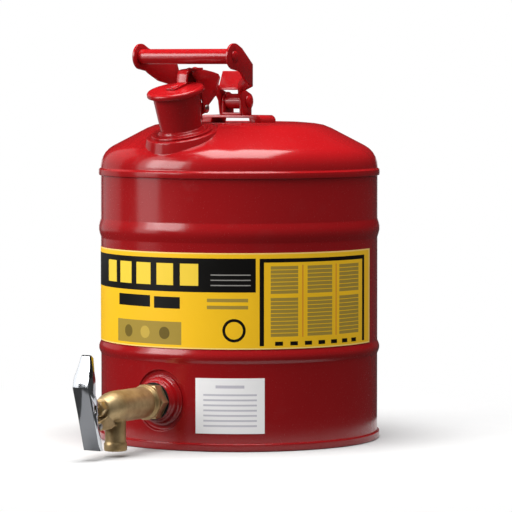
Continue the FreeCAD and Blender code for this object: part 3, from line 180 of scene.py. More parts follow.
class Shop:
    """Builds one material's nodes."""

    def __init__(self, name):
        self.material = bpy.data.materials.new(name)
        self.material.use_nodes = True
        self.tree = self.material.node_tree
        self.tree.nodes.clear()
        self.place = self.add("ShaderNodeTexCoord", out="Object")

    def add(self, kind, settings=None, sockets=None, out=0):
        """Adds a node, sets it up, feeds its sockets, and gives one of its outputs."""
        node = self.tree.nodes.new(kind)
        for field, setting in (settings or {}).items():
            setattr(node, field, setting)
        for key, value in (sockets or {}).items():
            if isinstance(value, Wire):
                self.tree.links.new(value.socket, node.inputs[key])
            else:
                node.inputs[key].default_value = value
        return Wire(self, node.outputs[out]) if node.outputs else node

    def math(self, operation, *values):
        return self.add("ShaderNodeMath", {"operation": operation}, dict(enumerate(values)))

    def axes(self):
        """The place in the row frame as three numbers, in millimetres."""
        spread = self.tree.nodes.new("ShaderNodeSeparateXYZ")
        self.tree.links.new(self.place.socket, spread.inputs[0])
        return [Wire(self, output) * 1000 for output in spread.outputs]

    def noise(self, scale, detail=2.0, roughness=0.5):
        sockets = {"Vector": self.place, "Scale": scale, "Detail": detail, "Roughness": roughness}
        return self.add("ShaderNodeTexNoise", None, sockets)

    def ramp(self, value, low, high):
        """0 where the value is low, 1 where it is high, and straight between."""
        sockets = {"Value": value, "From Min": low, "From Max": high}
        return self.add("ShaderNodeMapRange", None, sockets)

    def mix(self, mask, first, second):
        """Colour first where mask is 0, second where it is 1."""
        def colour(value):
            return value if isinstance(value, Wire) else (*tuple(value)[:3], 1.0)
        return self.add("ShaderNodeMix", {"data_type": "RGBA"},
                        {0: mask, 6: colour(first), 7: colour(second)}, out=2)

    def shade(self, colour, value, low, high):
        """A colour made darker and lighter as value goes from 0 to 1."""
        tone = tuple(colour)[:3]
        return self.mix(value, [c * low for c in tone], [min(c * high, 1) for c in tone])

    def finish(self, bump=None, edge=0.0, **sockets):
        """Closes the material with one shader.

        bump is (height, strength, distance), and edge is a rounding in metres.
        """
        fed = {key.replace("_", " "): value for key, value in sockets.items()}
        for key, value in list(fed.items()):
            if key.endswith("Color") and not isinstance(value, Wire):
                fed[key] = (*tuple(value)[:3], 1.0)
        normal = None
        if edge:
            normal = self.add("ShaderNodeBevel", {"samples": 6}, {"Radius": edge})
        if bump:
            height, strength, distance = bump
            wires = {"Height": height, "Strength": strength, "Distance": distance}
            if normal:
                wires["Normal"] = normal
            normal = self.add("ShaderNodeBump", None, wires)
        if normal:
            fed["Normal"] = normal
        shader = self.add("ShaderNodeBsdfPrincipled", None, fed)
        self.add("ShaderNodeOutputMaterial", None, {"Surface": shader})
        return self.material


FINISHES = {}


def finish_of(name):
    """The finish of that name, made once."""
    if name not in FINISHES:
        FINISHES[name] = MAKERS[name]()
    return FINISHES[name]


def enamel(name, edge, weld=0.0):
    """Baked gloss paint: faint orange peel, drifting tone, specks of dust and rubbed patches.

    A weld above 0 adds that much ripple under the paint.
    """
    shop = Shop(name)
    peel = shop.noise(240, 2.0, 0.5)
    cloud = shop.noise(9, 3.0, 0.55)
    speck = shop.noise(900, 1.0, 0.4)
    rub = shop.noise(42, 5.0, 0.65)
    colour = shop.shade(colours().enamel, cloud, 0.9, 1.12)
    rough = 0.13 + cloud * 0.08 + (rub > 0.62) * 0.07 + (speck > 0.72) * 0.15
    height = peel * 0.7 + speck * 0.12
    if weld:
        height = height + shop.noise(330, 3.0, 0.6) * weld
    return shop.finish(bump=(height, 0.08, 0.0004), edge=edge, Base_Color=colour, Roughness=rough,
                       Specular_IOR_Level=0.5, IOR=1.5)


def cast_brass():
    """Satin cast brass with fine sand texture and darker patches."""
    shop = Shop("cast_brass")
    patch = shop.noise(38, 4.0, 0.6)
    grain = shop.noise(1400, 2.0, 0.6)
    fine = shop.noise(320, 3.0, 0.6)
    tone = colours().brass
    dark = [tone[0] * 0.56, tone[1] * 0.5, tone[2] * 0.42]
    colour = shop.mix(shop.ramp(patch, 0.38, 0.66), dark, tone)
    rough = 0.32 + fine * 0.16 + patch * 0.08
    return shop.finish(bump=(grain * 0.5 + fine, 0.16, 0.0005), edge=0.0006, Base_Color=colour,
                       Metallic=0.75, Roughness=rough)


def turned_brass():
    """Machined brass with fine rings round the faucet's axis."""
    shop = Shop("turned_brass")
    out = shop.axes()[1]
    rings = shop.math("SINE", out * 9.0)
    patch = shop.noise(60, 3.0, 0.6)
    colour = shop.shade(colours().brass, patch, 0.6, 1.15)
    return shop.finish(bump=(rings, 0.06, 0.0003), edge=0.0004, Base_Color=colour, Metallic=0.85,
                       Roughness=0.24 + patch * 0.14)


def chrome():
    """Bright plating with a soft haze."""
    shop = Shop("chrome")
    haze = shop.noise(30, 3.0, 0.5)
    ripple = shop.noise(85, 2.0, 0.5)
    colour = shop.mix(haze, (0.54, 0.56, 0.59), (0.62, 0.64, 0.67))
    return shop.finish(bump=(ripple, 0.04, 0.0006), edge=0.0007, Base_Color=colour, Metallic=1.0,
                       Roughness=0.06 + haze * 0.12)


def zinc():
    """Plated steel wire, pins and screens."""
    shop = Shop("zinc")
    blotch = shop.noise(120, 4.0, 0.65)
    colour = shop.mix(blotch, (0.34, 0.33, 0.31), (0.62, 0.61, 0.58))
    return shop.finish(bump=(blotch, 0.08, 0.0004), edge=0.0003, Base_Color=colour, Metallic=1.0,
                       Roughness=0.3 + blotch * 0.2)


def rubber():
    """Dull black rubber."""
    shop = Shop("rubber")
    grain = shop.noise(700, 3.0, 0.6)
    colour = shop.mix(grain, (0.006, 0.006, 0.006), (0.016, 0.015, 0.015))
    return shop.finish(bump=(grain, 0.15, 0.0004), edge=0.0003, Base_Color=colour,
                       Roughness=0.62 + grain * 0.2, Specular_IOR_Level=0.2)


def patch_of(shop, across, up, field):
    """1 inside a field of (left, right, bottom, top)."""
    left, right, bottom, top = field
    wide = shop.math("COMPARE", across, (left + right) / 2, (right - left) / 2)
    tall = shop.math("COMPARE", up, (bottom + top) / 2, (top - bottom) / 2)
    return wide * tall


def patches(shop, across, up, fields):
    """1 inside any of several fields that don't overlap."""
    total = patch_of(shop, across, up, fields[0])
    for field in fields[1:]:
        total = total + patch_of(shop, across, up, field)
    return shop.math("MINIMUM", total, 1.0)


def around(shop):
    """Degrees round the can from the faucet, and height in millimetres."""
    x, y, z = shop.axes()
    return shop.math("ARCTAN2", x, 0 - y) * (180 / math.pi), z


def distance_from(shop, across, up, degrees, height):
    """Millimetres along the sheet from a spot on it."""
    side, rise = (across - degrees) * MM_PER_DEGREE, up - height
    return shop.math("SQRT", side * side + rise * rise)


def bars(left, right, bottom, top, rows, cols, fill, gap=1.0):
    """Plain bars in the places of print: fill and gap are their shares of a row and of a column."""
    fields = []
    height = (top - bottom) / rows
    width = (right - left) / cols
    for row in range(rows):
        for col in range(cols):
            low = bottom + height * (row + (1 - fill) / 2)
            start = left + width * col
            fields.append((start, start + width * gap, low, low + height * fill))
    return fields


def wrap_print():
    """Yellow band: a black block with plain fields, a framed panel of bars, and a ring."""
    shop = Shop("wrap_print")
    across, up = around(shop)
    ground, ink = colours().label, colours().ink
    khaki = (0.36, 0.25, 0.04)
    fade = shop.noise(16, 3.0, 0.5)
    colour = shop.shade(ground, fade, 0.93, 1.05)
    low, high = BAND_FOOT + 1.3, BAND_HEAD - 1.3
    edges = [(-BAND_HALF, BAND_HALF, high, BAND_HEAD), (-BAND_HALF, BAND_HALF, BAND_FOOT, low),
             (BAND_HALF - 1, BAND_HALF, low, high)]
    colour = shop.mix(patches(shop, across, up, edges), colour, (0.97, 0.68, 0.2))
    black = [(-101, 40.6, 163.5, 198.2), (42.1, 43.9, 108.5, 198.0), (42.1, 96.4, 193.9, 198.0),
             (94.4, 96.4, 108.5, 198.0)]
    black += [(start, start + 3.3, 108.6, 112.8)
              for start in (48.4, 54.8, 61.2, 67.6, 74.0, 80.2, 86.2)]
    black += [(-24.0, -4.6, 146.8, 158.8), (-2.6, 9.6, 146.0, 158.0)]
    colour = shop.mix(patches(shop, across, up, black), colour, ink)
    blocks = bars(-34.0, 20.5, 170.0, 192.5, 1, 5, 1.0, 0.72)
    colour = shop.mix(patches(shop, across, up, blocks), colour, (0.86, 0.6, 0.05))
    small = bars(22.5, 38.5, 168.0, 184.0, 3, 1, 0.2)
    colour = shop.mix(patches(shop, across, up, small), colour, (0.3, 0.29, 0.27))
    field = bars(21, 37.5, 144.5, 159.0, 2, 1, 0.5) + [(-25, 10.2, 108.8, 132.4)]
    for left, right in ((46.6, 58.2), (62.4, 74.6), (78.6, 91.4)):
        field += bars(left, right, 161.5, 190.5, 7, 1, 0.82)
        field += bars(left, right, 117.5, 158.0, 10, 1, 0.82)
    colour = shop.mix(patches(shop, across, up, field), colour, khaki)
    orange = [(59.9, 60.6, 117, 191), (76.4, 77.1, 117, 191)]
    colour = shop.mix(patches(shop, across, up, orange), colour, (0.74, 0.3, 0.02))
    ring = distance_from(shop, across, up, 31.9, 124.5)
    colour = shop.mix(shop.math("COMPARE", ring, 10.5, 1.5), colour, ink)
    for middle, tone in ((-17.2, 0.45), (-7.4, 1.5), (2.4, 0.4)):
        dot = distance_from(shop, across, up, middle, 120.6)
        colour = shop.mix(dot < 6.4, colour, [part * tone for part in khaki])
    scuff = shop.noise(70, 4.0, 0.65)
    return shop.finish(bump=(scuff, 0.03, 0.0004), Base_Color=colour, Roughness=0.34 + scuff * 0.16,
                       Specular_IOR_Level=0.2)


def notice_print():
    """Small white sheet with faint grey bars and a thin border."""
    shop = Shop("notice_print")
    across, up = around(shop)
    fade = shop.noise(24, 3.0, 0.5)
    colour = shop.mix(fade, (0.9, 0.89, 0.89), (0.96, 0.95, 0.95))
    grey = bars(19.5, 41.0, 24.0, 61.0, 7, 1, 0.34) + [(24.5, 36.0, 65.3, 68.3)]
    colour = shop.mix(patches(shop, across, up, grey), colour, (0.56, 0.54, 0.6))
    return shop.finish(bump=(fade, 0.03, 0.0004), Base_Color=colour, Roughness=0.36 + fade * 0.1,
                       Specular_IOR_Level=0.4)


MAKERS = {
    "enamel_sheet": lambda: enamel("enamel_sheet", 0.0012),
    "enamel_parts": lambda: enamel("enamel_parts", 0.0005),
    "enamel_weld": lambda: enamel("enamel_weld", 0.0005, weld=9.0),
    "cast_brass": cast_brass,
    "turned_brass": turned_brass,
    "chrome": chrome,
    "zinc": zinc,
    "rubber": rubber,
    "wrap_print": wrap_print,
    "notice_print": notice_print,
}


# Modelling


def clear_selection():
    if bpy.context.object and bpy.context.object.mode != "OBJECT":
        bpy.ops.object.mode_set(mode="OBJECT")
    bpy.ops.object.select_all(action="DESELECT")


def choose(*pieces):
    """Selects these pieces alone, with the first one active."""
    clear_selection()
    for piece in pieces:
        piece.select_set(True)
    bpy.context.view_layer.objects.active = pieces[0]


def filleted(corners, closed=False):
    """A line through (x, y, radius) corners with each corner rounded by a short arc."""
    spots = [Vector(corner[:2]) for corner in corners]
    line = []
    for index, corner in enumerate(corners):
        here = spots[index]
        radius = corner[2] if len(corner) > 2 else 0
        inner = closed or 0 < index < len(corners) - 1
        if not (radius and inner):
            line.append(here)
            continue
        back = spots[index - 1] - here
        ahead = spots[(index + 1) % len(spots)] - here
        shares = [0.98 * radius / (radius + (other[2] if len(other) > 2 else 0))
                  for other in (corners[index - 1], corners[(index + 1) % len(corners)])]
        angle = back.angle(ahead)
        if angle > math.pi - 0.02:
            line.append(here)
            continue
        reach = min(radius / math.tan(angle / 2), back.length * shares[0], ahead.length * shares[1])
        bend = reach * math.tan(angle / 2)
        back, ahead = back.normalized(), ahead.normalized()
        start, end = here + back * reach, here + ahead * reach
        centre = here + (back + ahead).normalized() * (bend / math.sin(angle / 2))
        steps = max(2, round((math.pi - angle) / 0.22))
        first, last = start - centre, end - centre
        sweep = first.angle_signed(last)
        for step in range(steps + 1):
            turned = first.copy()
            turned.rotate(Matrix.Rotation(-sweep * step / steps, 2))
            line.append(centre + turned)
    return [(spot.x, spot.y) for spot in line]


def draw_line(name, spots):
    """A new object whose mesh is one line of edges through spots in metres."""
    clear_selection()
    bpy.ops.mesh.primitive_plane_add(size=0.01, location=(0, 0, 0))
    piece = bpy.context.object
    piece.name = name
    bpy.ops.object.mode_set(mode="EDIT")
    bpy.ops.mesh.select_all(action="SELECT")
    bpy.ops.mesh.merge(type="CENTER")
    bpy.ops.transform.translate(value=spots[0])
    for before, after in zip(spots, spots[1:]):
        step = Vector(after) - Vector(before)
        bpy.ops.mesh.extrude_region_move(TRANSFORM_OT_translate={"value": step})
    return piece


def tidy_mesh():
    bpy.ops.mesh.select_all(action="SELECT")
    bpy.ops.mesh.remove_doubles(threshold=LATHE_MERGE)
    bpy.ops.mesh.normals_make_consistent(inside=False)


def put(piece, place):
    """Leaves the piece at the origin with its place in its mesh."""
    spot, turn = place
    choose(piece)
    piece.rotation_euler = turn
    piece.location = [value * MM for value in spot]
    bpy.ops.object.transform_apply(location=True, rotation=True, scale=True)
    return piece


def dress(piece, finish, body, slot, *replaced, smooth=32):
    """Gives a finished piece its finish, its smooth shading and its body. The slot is not used."""
    choose(piece)
    bpy.ops.object.shade_smooth_by_angle(angle=math.radians(smooth), keep_sharp_edges=True)
    piece.data.materials.clear()
    piece.data.materials.append(finish_of(finish))
    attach(piece, body)
    if replaced:
        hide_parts(*replaced)
    return piece


def lathe(name, corners, steps=160, place=NOWHERE, closed=True):
    """Spins (radius, height, fillet) corners, in millimetres, about the axis of their place."""
    section = filleted(corners, closed)
    if closed:
        section.append(section[0])
    piece = draw_line(name, [(radius * MM, 0, height * MM) for radius, height in section])
    bpy.ops.mesh.select_all(action="SELECT")
    bpy.ops.mesh.spin(steps=steps, angle=TURN, center=(0, 0, 0), axis=(0, 0, 1),
                      use_auto_merge=False)
    tidy_mesh()
    bpy.ops.object.mode_set(mode="OBJECT")
    return put(piece, place)


def modify(piece, kind, **settings):
    """Adds one modifier and applies it."""
    choose(piece)
    bpy.ops.object.modifier_add(type=kind)
    modifier = piece.modifiers[-1]
    for field, value in settings.items():
        setattr(modifier, field, value)
    bpy.ops.object.modifier_apply(modifier=modifier.name)
    return piece


def carve(piece, operation, *tools):
    """Joins, cuts or crops a piece with closed tools, which are used up."""
    for tool in tools:
        modify(piece, "BOOLEAN", operation=operation, object=tool, solver="EXACT")
        choose(tool)
        bpy.ops.object.delete()
    return piece


def copied(node, name):
    """A merged copy of a solid's mesh, with its flat faces whole again."""
    piece = bpy.data.objects.new(name, frame["nodes"][node].data.copy())
    bpy.context.scene.collection.objects.link(piece)
    piece.data.materials.clear()
    choose(piece)
    bpy.ops.object.mode_set(mode="EDIT")
    bpy.ops.mesh.select_all(action="SELECT")
    bpy.ops.mesh.remove_doubles(threshold=SOLID_MERGE)
    bpy.ops.mesh.select_all(action="SELECT")
    bpy.ops.mesh.dissolve_limited(angle_limit=FLAT_ANGLE)
    bpy.ops.object.mode_set(mode="OBJECT")
    return piece


def eased(node, body, slot, finish="enamel_parts", width=None):
    """A pressed or cast part with real rounded edges in place of its sharp solid."""
    piece = copied(node, node + "_eased")
    modify(piece, "BEVEL", width=width or sizes().edge_round, segments=2, limit_method="ANGLE",
           angle_limit=EDGE_ANGLE, miter_outer="MITER_ARC", use_clamp_overlap=True)
    return dress(piece, finish, body, slot, node)


def middle(node):
    """The middle of a solid's box, in millimetres."""
    low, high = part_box(node)
    return tuple((low[axis] + high[axis]) / 2 / MM for axis in range(3))


def from_spout(reach, height):
    """A point of the spout's own plane in the can's frame, in millimetres."""
    (_, y, z), (tilt, _, _) = IN_SPOUT
    return (0, y + reach * math.cos(tilt) - height * math.sin(tilt),
            z + reach * math.sin(tilt) + height * math.cos(tilt))


def rivet(name, radius, half, head, rise, spot):
    """A rivet or pin along X with a round head at each end."""
    side = [(0, half + rise), (head * 0.62, half + rise, head * 0.5),
            (head, half + rise * 0.25, rise * 0.5), (head, half, 0), (radius, half, 0)]
    under = [(across, -up, *rest) for across, up, *rest in reversed(side)]
    return lathe(name, side + under, 40, (spot, SIDEWAYS), closed=False)


def joined(name, pieces):
    """Several pieces as one object, each still a closed shell."""
    choose(*pieces)
    bpy.ops.object.join()
    pieces[0].name = name
    return pieces[0]


# Pieces


class CAN_OT_wall(bpy.types.Operator):
    """Rolled wall with its two ribs and the flat pressed seat of the faucet"""

    bl_idname = "safetycan.wall"
    bl_label = "Can wall"

    def execute(self, context):
        radius = sizes().wall_radius / MM
        rise = sizes().rib_rise / MM
        outside = [(radius, 2, 0)]
        for level, width in RIBS:
            outside.append((radius, level - width * 0.5, 2.5))
            for step in (-0.28, -0.1, 0.1, 0.28):
                bulge = rise * math.cos(step * math.pi) ** 1.1
                outside.append((radius + bulge, level + width * step, 0))
            outside.append((radius, level + width * 0.5, 2.5))
        outside.append((radius, WALL_TOP, 0))
        inside = [(across - SHEET, up, bend) for across, up, bend in reversed(outside)]
        wall = lathe("can_wall", outside + inside, steps=256)
        back = SEAT_FLAT - SHEET
        seat = lathe("seat_rim", [(0, back), (32.6, back), (32.6, 150), (0, 150)], 96, IN_FAUCET,
                     closed=False)
        round_can = lathe("round_can", [(0, 10), (radius, 10), (radius, 95), (0, 95)], 256,
                          closed=False)
        carve(seat, "INTERSECT", round_can)
        carve(wall, "UNION", seat)
        dish = lathe("seat_dish", [
            (0, SEAT_FLAT), (30.2, SEAT_FLAT), (32.0, 147.2), (32.0, 152), (0, 152),
        ], 96, IN_FAUCET, closed=False)
        hole = lathe("faucet_hole", [(0, 120), (15.3, 120), (15.3, 160), (0, 160)], 48, IN_FAUCET,
                     closed=False)
        carve(wall, "DIFFERENCE", dish, hole)
        dress(wall, "enamel_sheet", "can", "red_enamel", "body_shell")
        return {"FINISHED"}


class CAN_OT_dome(bpy.types.Operator):
    """Pressed dome with its rolled seam and the seat of the spout"""

    bl_idname = "safetycan.dome"
    bl_label = "Dome"

    def execute(self, context):
        radius = sizes().wall_radius / MM
        outside = [
            (0, 279.3), (radius + 2.1, 279.3, 0.5), (radius + 2.35, 282.5, 4),
            (radius + 2.2, 285.5, 0.9), (radius + 0.9, 286.1, 0.4), (radius + 0.15, 287.2, 0.8),
            (radius + 0.1, 303.2, 26.0), (89.68, 333.05, 46.0), (64.0, 335.14, 7.0),
            (57.0, 334.14, 7.0), (0, 334.14),
        ]
        hollow = [
            (0, 278.0), (radius + 0.1, 278.0), (radius + 0.1, 283.8), (radius - 0.9, 283.8),
            (radius - 0.9, 302.6, 25.0), (89.4, 331.95, 45.0), (64.0, 334.05, 6.0),
            (57.0, 333.1, 6.0), (0, 333.1),
        ]
        dome = lathe("can_dome", outside, 256, closed=False)
        inside = lathe("dome_hollow", hollow, 256, closed=False)
        for shape, inset in ((dome, 0.0), (inside, SHEET)):
            seat = lathe("spout_seat", [
                (0, -24 - inset), (43.4 - inset, -24 - inset), (37.6 - inset, -0.9 - inset, 1.5),
                (36.4 - inset, -inset, 1.0), (0, -inset),
            ], 96, IN_SPOUT, closed=False)
            above = lathe("above_seat", [
                (0, -inset), (37.0 + inset, -inset), (38.0 + inset, 6 - inset), (0, 24 - inset),
            ], 96, IN_SPOUT, closed=False)
            carve(shape, "UNION", seat)
            carve(shape, "DIFFERENCE", above)
        hole = lathe("spout_hole", [(0, -26), (21.9, -26), (21.9, 24), (0, 24)], 96, IN_SPOUT,
                     closed=False)
        carve(dome, "DIFFERENCE", inside, hole)
        dress(dome, "enamel_sheet", "can", "red_enamel", "top_dome", smooth=26)
        return {"FINISHED"}


class CAN_OT_pan(bpy.types.Operator):
    """Recessed floor with its rolled chime"""

    bl_idname = "safetycan.pan"
    bl_label = "Floor of the can"

    def execute(self, context):
        radius = sizes().wall_radius / MM
        pan = lathe("can_floor", [
            (radius + 0.1, 8.5, 0.2), (radius + 0.1, 1.8, 0), (radius - 1.1, 1.8, 0),
            (radius - 6.8, 9.0, 2.5), (110.0, 9.0, 2), (107.0, 8.4, 2), (60.0, 8.4, 2),
            (57.0, 9.0, 2), (2.0, 9.0, 0), (2.0, 8.0, 0), (57.0, 8.0, 2), (60.0, 7.4, 2),
            (107.0, 7.4, 2), (110.0, 8.0, 2), (radius - 8.0, 8.0, 2.5), (radius - 3.6, 1.2, 1.0),
            (radius - 2.4, 0, 0.9), (radius + 1.6, 0, 1.2), (radius + 2.35, 1.2, 1.2),
            (radius + 2.35, 8.0, 0.9),
        ], 224)
        plug = lathe("can_floor_middle", [(0, 8.0), (2.0, 8.0), (2.0, 9.0), (0, 9.0)], 24,
                     closed=False)
        pan = carve(pan, "UNION", plug)
        dress(pan, "enamel_sheet", "can", "red_enamel", "bottom_pan")
        return {"FINISHED"}


class CAN_OT_spout(bpy.types.Operator):
    """Flared spout with its rolled lip and the weld at its foot"""

    bl_idname = "safetycan.spout"
    bl_label = "Spout"

    def execute(self, context):
        tube = lathe("spout", [
            (20.3, -6.0, 0.3), (21.8, -6.0, 0.3), (21.8, 8.0, 20), (24.3, 40.1, 0.9),
            (25.3, 40.5, 0.7), (25.6, 41.6, 0.8), (25.4, 42.8, 0.8), (24.2, 43.0, 0.5),
            (22.9, 42.8, 0.6), (22.8, 40.5, 2.0), (20.3, 8.0, 20),
        ], 128, IN_SPOUT)
        dress(tube, "enamel_sheet", "can", "red_enamel", "spout_tube")
        ring = lathe("spout_foot", [
            (21.9, 0.0, 0), (32.0, 0.0, 0.2), (32.3, 1.2, 0.8), (31.6, 2.3, 0.9), (28.6, 2.6, 2.0),
            (25.4, 2.5, 1.2), (24.4, 3.7, 1.1), (23.2, 5.4, 0.9), (21.9, 6.0, 0.3),
        ], 128, IN_SPOUT)
        dress(ring, "enamel_weld", "can", "red_enamel", "spout_flange")
        return {"FINISHED"}


class CAN_OT_cap(bpy.types.Operator):
    """Pressed cap with its strap, lever and rivets"""

    bl_idname = "safetycan.cap"
    bl_label = "Cap and its lever"

    def execute(self, context):
        cap = lathe("cap_plate", [
            (2.45, 45.5, 0), (27.7, 45.5, 0.6), (27.7, 42.4, 0.3), (28.3, 41.95, 0.4),
            (29.5, 41.95, 0.6), (30.0, 43.0, 0.6), (30.0, 45.6, 1.4), (28.6, 47.3, 1.3),
            (25.6, 47.7, 1.5), (23.4, 47.2, 1.5), (14.0, 47.55, 2), (2.45, 47.6, 0),
        ], 128, IN_SPOUT)
        dress(cap, "enamel_sheet", "cap", "red_enamel", "spout_cap")
        middle_rivet = lathe("cap_rivet_round", [
            (0, 40.7), (4.3, 40.9, 0.7), (5.0, 42.1, 0.1), (2.4, 42.1), (2.4, 49.8),
            (5.04, 49.8, 0.1), (4.4, 51.0, 1.0), (0, 51.6),
        ], 40, IN_SPOUT, closed=False)
        dress(middle_rivet, "enamel_parts", "cap", "red_enamel", "cap_rivet")
        heads = []
        for reach in (40.0, 30.0):
            level = 60.6 - 0.184 * (reach - 17.2) + 2.25
            spot = from_spout(reach, level)
            head = [(0, 0), (2.6, 0, 0.1), (2.2, 0.8, 0.7), (0, 1.25)]
            lean = (math.radians(4.57), 0, 0)
            heads.append(lathe("strap_rivet", head, 32, (spot, lean), closed=False))
        heads = joined("strap_rivet_heads", heads)
        dress(heads, "enamel_parts", "cap", "red_enamel", "strap_rivets")
        eased("cap_strap", "cap", "red_enamel")
        eased("cap_lever", "cap", "red_enamel")
        eased("hinge_bracket", "can", "red_enamel", width=0.00035)
        pin = rivet("hinge_pin_round", 2.0, 8.3, 3.6, 1.4, middle("cap_hinge_pin"))
        dress(pin, "zinc", "can", "zinc_steel", "cap_hinge_pin")
        return {"FINISHED"}


class CAN_OT_handle(bpy.types.Operator):
    """Swing handle with its bracket, bridge, grip and rivets"""

    bl_idname = "safetycan.handle"
    bl_label = "Handle"

    def execute(self, context):
        eased("handle_frame", "handle", "red_enamel", width=0.0006)
        eased("handle_bracket", "can", "red_enamel")
        eased("bracket_bridge", "can", "red_enamel", width=0.0008)
        grip = lathe("grip", [
            (6.7, -57.5, 0.3), (7.5, -57.5, 0.4), (7.9, -56.9, 0.4), (7.9, 56.9, 0.4),
            (7.5, 57.5, 0.4), (6.7, 57.5, 0.3),
        ], 72, (middle("grip_tube"), SIDEWAYS))
        dress(grip, "enamel_sheet", "handle", "red_enamel", "grip_tube")
        rod = rivet("grip_rod_round", 4.0, 60.1, 5.8, 1.8, middle("grip_rod"))
        dress(rod, "enamel_parts", "handle", "red_enamel", "grip_rod")
        pivot = rivet("pivot_rivet_round", 4.0, 15.7, 6.5, 2.6, middle("pivot_rivet"))
        dress(pivot, "enamel_parts", "can", "red_enamel", "pivot_rivet")
        return {"FINISHED"}


class CAN_OT_faucet(bpy.types.Operator):
    """Cast faucet with its collar, hexagons and plated lever"""

    bl_idname = "safetycan.faucet"
    bl_label = "Faucet"

    def execute(self, context):
        collar = lathe("faucet_collar", [
            (15.2, 143.3, 0), (26.6, 143.3, 0.2), (26.8, 144.6, 0.7), (25.9, 145.5, 0.7),
            (24.2, 145.6, 0.8), (23.0, 147.0, 1.6), (22.4, 151.6, 3.0), (20.9, 154.6, 1.4),
            (20.2, 156.2, 0.8), (19.2, 157.1, 0.5), (15.2, 157.1, 0),
        ], 120, IN_FAUCET)
        bead = lathe("collar_bead", [
            (21.6, 151.8, 0), (22.6, 151.2, 0.5), (23.3, 152.2, 0.8), (22.6, 153.6, 0.8),
            (21.4, 154.6, 0.6), (20.6, 154.4, 0),
        ], 120, IN_FAUCET)
        collar = joined("faucet_collar", [collar, bead])
        dress(collar, "enamel_weld", "can", "red_enamel", "faucet_bung")
        body = copied("faucet_body", "faucet_casting")
        modify(body, "REMESH", mode="VOXEL", voxel_size=sizes().cast_grain)
        modify(body, "SMOOTH", factor=0.5, iterations=14)
        dress(body, "cast_brass", "can", "brass", "faucet_body", smooth=60)
        eased("faucet_nipple", "can", "brass", "turned_brass", 0.0004)
        eased("packing_nut", "can", "brass", "turned_brass", 0.0003)
        eased("valve_stem", "stem", "brass", "turned_brass", 0.0003)
        eased("faucet_lever", "lever", "chrome", "chrome", 0.001)
        pin = rivet("lever_pin_round", 2.0, 8.1, 3.2, 1.1, middle("lever_pin"))
        dress(pin, "zinc", "can", "zinc_steel", "lever_pin")
        return {"FINISHED"}


